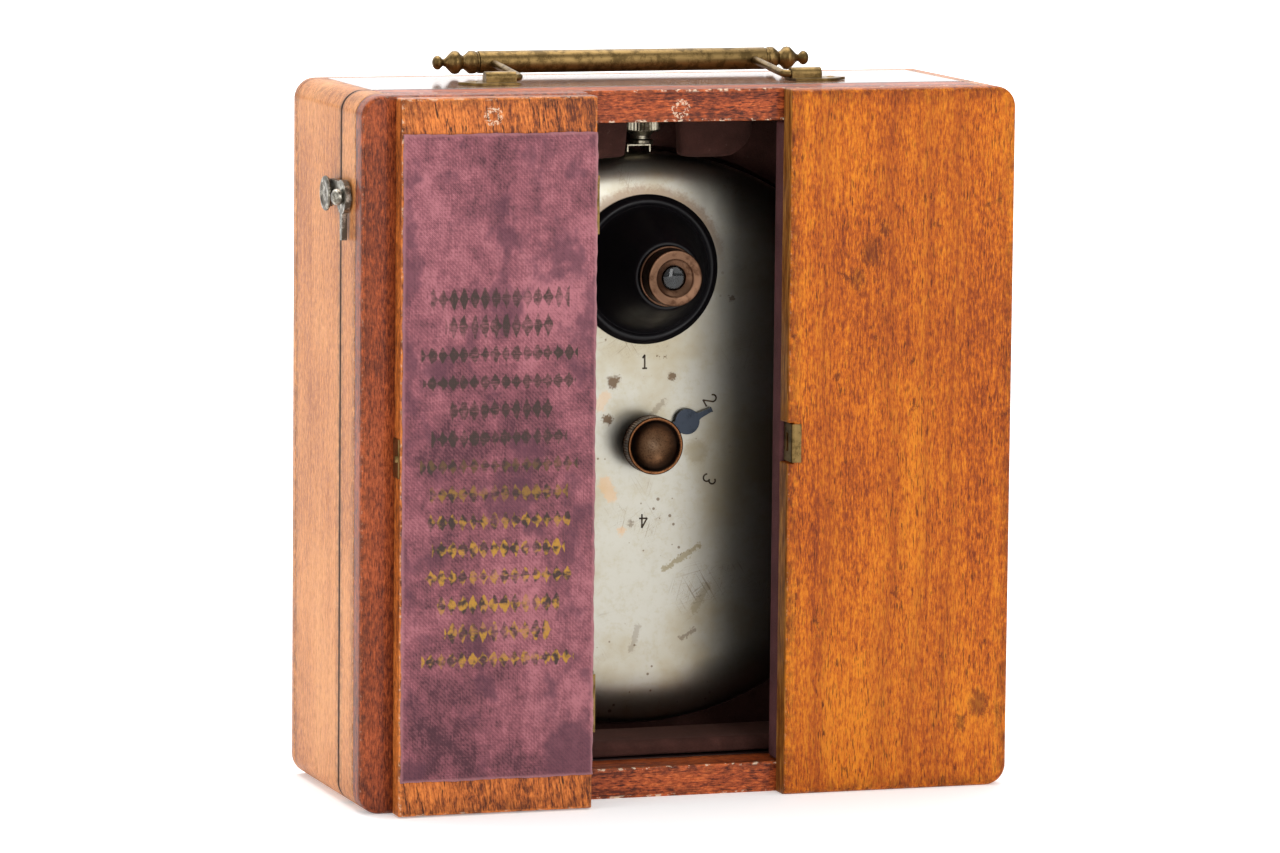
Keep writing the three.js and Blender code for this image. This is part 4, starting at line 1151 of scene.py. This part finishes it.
def make_lens():
    hood = turned("hood", filleted(out(
        (15.2, 0.1), (19.7, 0.1), (19.7, 0.7), (19.3, 1.0), (18.6, 1.8), (17.9, 2.1), (17.2, 1.8),
        (16.7, 1.3), (14.6, 5.3), (11.8, 11.5), (9.6, 16.7), (8.7, 18.3), (7.7, 18.3), (7.7, 16.1),
        (8.8, 14.5), (11, 9.7), (13.6, 3.9),
    ), 0.5, 3), LENS, segments=128)
    stands_for(hood, "lens_hood")
    barrel = turned("lens_barrel", filleted(out(
        (3.2, 23.3), (4, 23.8), (4.7, 24.2), (5.1, 24.6), (6.8, 24.8), (7.2, 24.7), (7.4, 24.3),
        (7.4, 19.5), (7.9, 19.3), (7.9, 18.5), (7.4, 18.4), (7.4, 12.7), (6.5, 12.7), (6.5, 21.3),
        (3.2, 21.3),
    ), 0.18, 3), LENS, segments=96)
    stands_for(barrel, "lens_tube")
    bulge = [(3.0 * math.sin(k / 8 * math.pi / 2), 23.9 - 0.7 * (1 - math.cos(k / 8 * math.pi / 2)))
             for k in range(9)]
    glass = turned("front_glass", out(*bulge, (3, 22.1), (1.6, 21.8), (0, 21.7)), LENS, segments=64)
    stands_for(glass, "front_element")
    stop = turned("lens_stop", out((1.1, 20.9), (6.4, 20.9), (6.4, 20.4), (1.1, 20.4)), LENS,
                  segments=64)
    piece(stop, DULL_BLACK, "tray", "black_lacquer")


def make_knob():
    """The winding knob: a bright rim round a dished face, and straight knurling on its side."""
    teeth = 64
    profile = filleted(out(
        (0, 7.7), (2.0, 7.75), (3.6, 8.0), (4.9, 8.45), (6.0, 9.1), (6.8, 9.85), (7.3, 10.0),
        (7.6, 9.7), (7.6, 5.1), (7.2, 4.7), (3.8, 4.4), (3.6, 2.1), (0, 2.1),
    ), 0.22, 3)
    knurl = knurled(teeth, 0.22, 7.5, -9.6, -5.2)
    knob = turned("knob", profile, DISC, segments=teeth * 4, knurl=knurl)
    stands_for(knob, "winding_knob", KNOB_BRONZE)


def make_pointer():
    """The pointer under the knob: a hub, a round blade and a square-ended tip."""
    low, high = corners("pointer_hand")
    from_level = math.radians(24)
    hub = arc(4, 22, 338, 28)
    blade_low = arc(3.4, 206, 342, 18, (12.5, 0))
    blade_high = arc(3.4, 18, 154, 18, (12.5, 0))
    tip_low = [(16.4, -0.8), (19.4, -0.55), (20, -0.75)]
    tip_high = [(u, -v) for u, v in reversed(tip_low)]
    outline = [*hub, (8.6, -1.5), *blade_low, *tip_low, *tip_high, *blade_high, (8.6, 1.5)]
    placed = [(u, DISC.z + v) for u, v in rotated(outline, from_level)]
    hand = extruded("pointer", placed, "y", low.y, high.y, 0.12)
    stands_for(hand, "pointer_hand")


def digit_strokes():
    """Strokes of the numerals 1 to 6 in a box one unit high, as lines of points."""
    def bow(cx, cy, rx, ry, start, end, steps=14):
        return [(cx + rx * u, cy + ry * v) for u, v in arc(1, start, end, steps)]

    return {
        1: [[(-0.16, 0.78), (0, 1), (0, 0)], [(-0.17, 0), (0.17, 0)]],
        2: [[*bow(0, 0.72, 0.26, 0.28, 165, -25), (-0.27, 0), (0.28, 0)]],
        3: [[*bow(0, 0.75, 0.24, 0.25, 150, -80)], [*bow(0, 0.27, 0.28, 0.27, 85, -150)]],
        4: [[(0.1, 0), (0.1, 1), (-0.3, 0.3), (0.3, 0.3)]],
        5: [[(0.24, 1), (-0.18, 1), (-0.22, 0.55), *bow(-0.02, 0.31, 0.28, 0.31, 120, -150)]],
        6: [[*bow(0.05, 0.45, 0.33, 0.55, 75, 180), *bow(0, 0.29, 0.28, 0.29, 180, 540, 24)]],
    }


def ribbon(points, width):
    """Quads along a line, with square joints filled by small overlaps."""
    quads = []
    for a, b in zip(points, points[1:]):
        a, b = Vector(a), Vector(b)
        ahead = (b - a).normalized()
        side = Vector((-ahead.y, ahead.x)) * width / 2
        ends = ahead * width * 0.2
        quads.append([a - ends - side, b + ends - side, b + ends + side, a - ends + side])
    return quads


def make_numerals():
    """The six exposure numbers round the pointer, cut into the face and filled dark."""
    ring, height, width = 19.3, 3.5, 0.44
    for number, strokes in digit_strokes().items():
        angle = math.radians(90 - 60 * (number - 1))
        outward = Vector((math.cos(angle), math.sin(angle)))
        sideways = Vector((outward.y, -outward.x))
        points, faces = [], []
        for line in strokes:
            for quad in ribbon([(u * height, v * height) for u, v in line], width):
                base = len(points)
                for depth in (0.025, -0.1):
                    for corner in quad:
                        flat = outward * (ring + corner.y) + sideways * corner.x
                        points.append((flat.x, DISC.y - depth, DISC.z + flat.y))
                faces += prism_faces(4, base)
        figure = mesh_object(f"numeral_{number}", points, faces)
        edit(figure)
        piece(figure, ENGRAVED, "tray", "black_lacquer")


def make_clasp():
    low, high = corners("clasp_nut")
    centre = Vector(((low.x + high.x) / 2, (low.y + high.y) / 2, low.z))
    teeth = 36
    profile = filleted([
        (1.6, 0), (2.8, 0), (2.6, 0.7), (3.6, 1.9), (4.8, 2.0), (5.2, 2.4), (5.2, 6.7), (4.8, 7.1),
        (1.6, 7.1),
    ], 0.2, 2)
    nut = turned("thumb_nut", profile, centre, "z", teeth * 4, knurled(teeth, 0.3, 5, 2.3, 6.8))
    stands_for(nut, "clasp_nut")
    refined("clasp_clip", 0.12, 2)


def make_camera_body():
    make_shell()
    make_cover()
    make_lens()
    make_knob()
    make_pointer()
    make_numerals()
    make_clasp()


# ------------------------------------------------------------------ fittings
def screw(name, place, facing, body, turn, radius=1.2):
    """A slotted brass screw head, a little proud of its plate. facing is an axis and a sign."""
    axis, sign = facing
    rise = 0.28
    profile = [(0, rise), (radius * 0.55, rise * 0.92), (radius * 0.9, rise * 0.45), (radius, 0),
               (radius, -0.15), (0, -0.15)]
    head = turned(name, [(r, a * sign) for r, a in profile], Vector(place), axis, 32)
    half, deep = 0.14, 0.16
    across = radius * 1.3
    slot = rotated([(-across, -half), (across, -half), (across, half), (-across, half)], turn)
    first, second, third = {"y": (0, 2, 1), "z": (0, 1, 2)}[axis]
    outline = [(u + place[first], v + place[second]) for u, v in slot]
    level = place[third]
    ends = sorted((level + sign * (rise - deep), level + sign * (rise + 1)))
    cutter = extruded("slot", outline, axis, *ends, width=0)
    cutter.modifiers.clear()
    carved(head, cutter)
    piece(head, BRASS, body, "brass")


def make_handle():
    half = (TUBE_HIGH.x - TUBE_LOW.x) / 2
    radius = (TUBE_HIGH.z - TUBE_LOW.z) / 2
    grip = turned("grip_tube", filleted([
        (radius - 0.6, -half), (radius, -half), (radius, half), (radius - 0.6, half),
    ], 0.2, 2), TUBE_CENTRE, "x", 64)
    stands_for(grip, "handle_tube")
    bead = [(1.2, 8.8), (0.9, 9.4), *[
        (1.88 * math.sin(math.radians(a)), 10.95 - 1.4 * math.cos(math.radians(a)))
        for a in range(40, 180, 20)
    ], (0, 12.35)]
    profile = [
        (0, -4), (2.1, -4), (2.1, 0.1), (2.75, 0.15), (2.8, 0.7), (3.0, 0.9), (3.05, 1.6),
        (3.0, 2.4), (2.3, 3.2), (1.8, 3.9), (1.85, 4.3), (2.2, 4.8), (2.95, 5.5), (3.1, 6.3),
        (2.95, 7.0), (2.2, 7.8), *bead,
    ]
    for side, node in ((-1, "handle_finial_left"), (1, "handle_finial_right")):
        placed = [(r, side * (half + a)) for r, a in profile]
        stands_for(turned(node + "_turned", placed, TUBE_CENTRE, "x", 48), node)
        arm(side, "handle_arm_left" if side < 0 else "handle_arm_right")
        bracket = "handle_bracket_left" if side < 0 else "handle_bracket_right"
        refined(bracket, 0.18, 2)
        low, high = corners(bracket)
        inner = low.x if side > 0 else high.x
        level = CASE_HIGH.z + 0.75
        middle = (low.y + high.y) / 2
        place = (inner + side * 11.2, middle, level)
        screw(f"{bracket}_screw", place, ("z", 1), "tray", 0.6 * side)


def arm(side, node):
    """The bent rod that carries the tube: forward from it, then outwards into its bracket."""
    low, high = corners(node)
    radius = 1.0
    inner = low.x + radius if side > 0 else high.x - radius
    outer = high.x if side > 0 else low.x
    pivot = Vector((0, low.y + radius, low.z + radius))
    rear = Vector((0, TUBE_CENTRE.y - 2.2, TUBE_CENTRE.z - 0.15))
    slope = (rear.z - pivot.z) / (rear.y - pivot.y)
    bend = 1.9
    line = [(inner, rear.y - k / 6 * (rear.y - pivot.y - bend),
             rear.z - k / 6 * (rear.y - pivot.y - bend) * slope) for k in range(7)]
    for k in range(1, 9):
        angle = k / 8 * math.pi / 2
        line.append((
            inner + side * bend * (1 - math.cos(angle)),
            pivot.y + bend * (1 - math.sin(angle)),
            pivot.z + bend * (1 - math.sin(angle)) * slope,
        ))
    line += [(inner + side * 4, pivot.y, pivot.z), (outer, pivot.y, pivot.z)]
    stands_for(tube_along(node + "_rod", line, radius), node)


def make_side_hook():
    refined("side_hook", 0.22, 3)
    low, high = corners("hook_keeper")
    wall = high.x
    keeper = Vector((wall, (low.y + high.y) / 2, (low.z + high.z) / 2))
    profile = [(0, 0), (3.2, 0), (3.2, 0.35), (1.6, 0.5), (1.6, 2.35), (4.3, 2.4), (4.5, 2.65),
               (4.5, 2.95), (4.25, 3.25), (3.4, 3.35), (2.9, 3.1), (1.1, 2.95), (0.6, 3.1),
               (0, 3.15)]
    stud = turned("keeper_stud", [(r, -a) for r, a in filleted(profile, 0.12, 2)], keeper, "x", 56)
    stands_for(stud, "hook_keeper")
    low, high = corners("hook_pivot")
    pivot = Vector((high.x, (low.y + high.y) / 2, (low.z + high.z) / 2))
    profile = [(0, 0), (3, 0), (3, 0.35), (1.5, 0.45), (1.5, 2.2), (2.1, 2.4), (2.1, 3.2),
               (1.9, 3.75), (1.35, 4.2), (0.7, 4.36), (0, 4.4)]
    stud = turned("pivot_stud", [(r, -a) for r, a in profile], pivot, "x", 48)
    stands_for(stud, "hook_pivot")


def make_hinges():
    for node in frame["nodes"]:
        if "_leaf_" not in node:
            continue
        refined(node, 0.08, 2, degrees=35)
        low, high = corners(node)
        if node.startswith("lid_hinge"):
            fixed = "fixed" in node
            face = low.y if fixed else high.y
            sign = -1 if fixed else 1
            for k, share in enumerate((0.17, 0.5, 0.83)):
                place = (low.x + 3.2, face - sign * 0.22, low.z + share * (high.z - low.z))
                screw(f"{node}_screw_{k}", place, ("y", sign), BODY_OF[node], k * 1.1, 0.95)


def make_small_parts():
    """Fittings and inner works that need no more than softened edges on the CAD solid."""
    for node, width, segments, material in (
        ("door_catch", 0.12, 2, BRASS), ("door_strike", 0.1, 2, BRASS),
        ("release_lever", 0.15, 2, None), ("tripod_bush", 0.2, 2, None),
        ("shutter_disc", 0.08, 1, DULL_BLACK), ("light_baffle", 0.1, 1, DULL_BLACK),
        ("plate_carrier", 0.1, 1, DULL_BLACK), ("pressure_spring", 0.08, 1, None),
        ("shutter_spring", 0.05, 1, None), ("spindle", 0.1, 1, None),
        ("glass_plate", 0.15, 2, None),
    ):
        refined(node, width, segments, material)


def finish_plain_nodes():
    """Any CAD node still shown gets its slot's finish."""
    for node, obj in frame["nodes"].items():
        if obj.hide_render:
            continue
        obj.data.materials.clear()
        obj.data.materials.append(MATERIAL_OF_SLOT[SLOT_OF[node]])
        smooth(obj)


make_boards()
velvet_board("former", seed=0)
velvet_board("lid_pad_left", seed=1, material=LIGHTER_PAD_VELVET)
velvet_board("lid_pad_right", seed=2, material=LIGHTER_PAD_VELVET)
velvet_board("bottom_pad", 0.35, seed=3)
make_door_cloth()
make_top_pads()
make_camera_body()
make_handle()
make_side_hook()
make_hinges()
make_small_parts()
finish_plain_nodes()

bpy.context.scene.view_settings.view_transform = "Standard"

boxes = {"cad": CAD_BOX, "visual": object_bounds()}
{name: [list(corner) for corner in box] for name, box in boxes.items()}
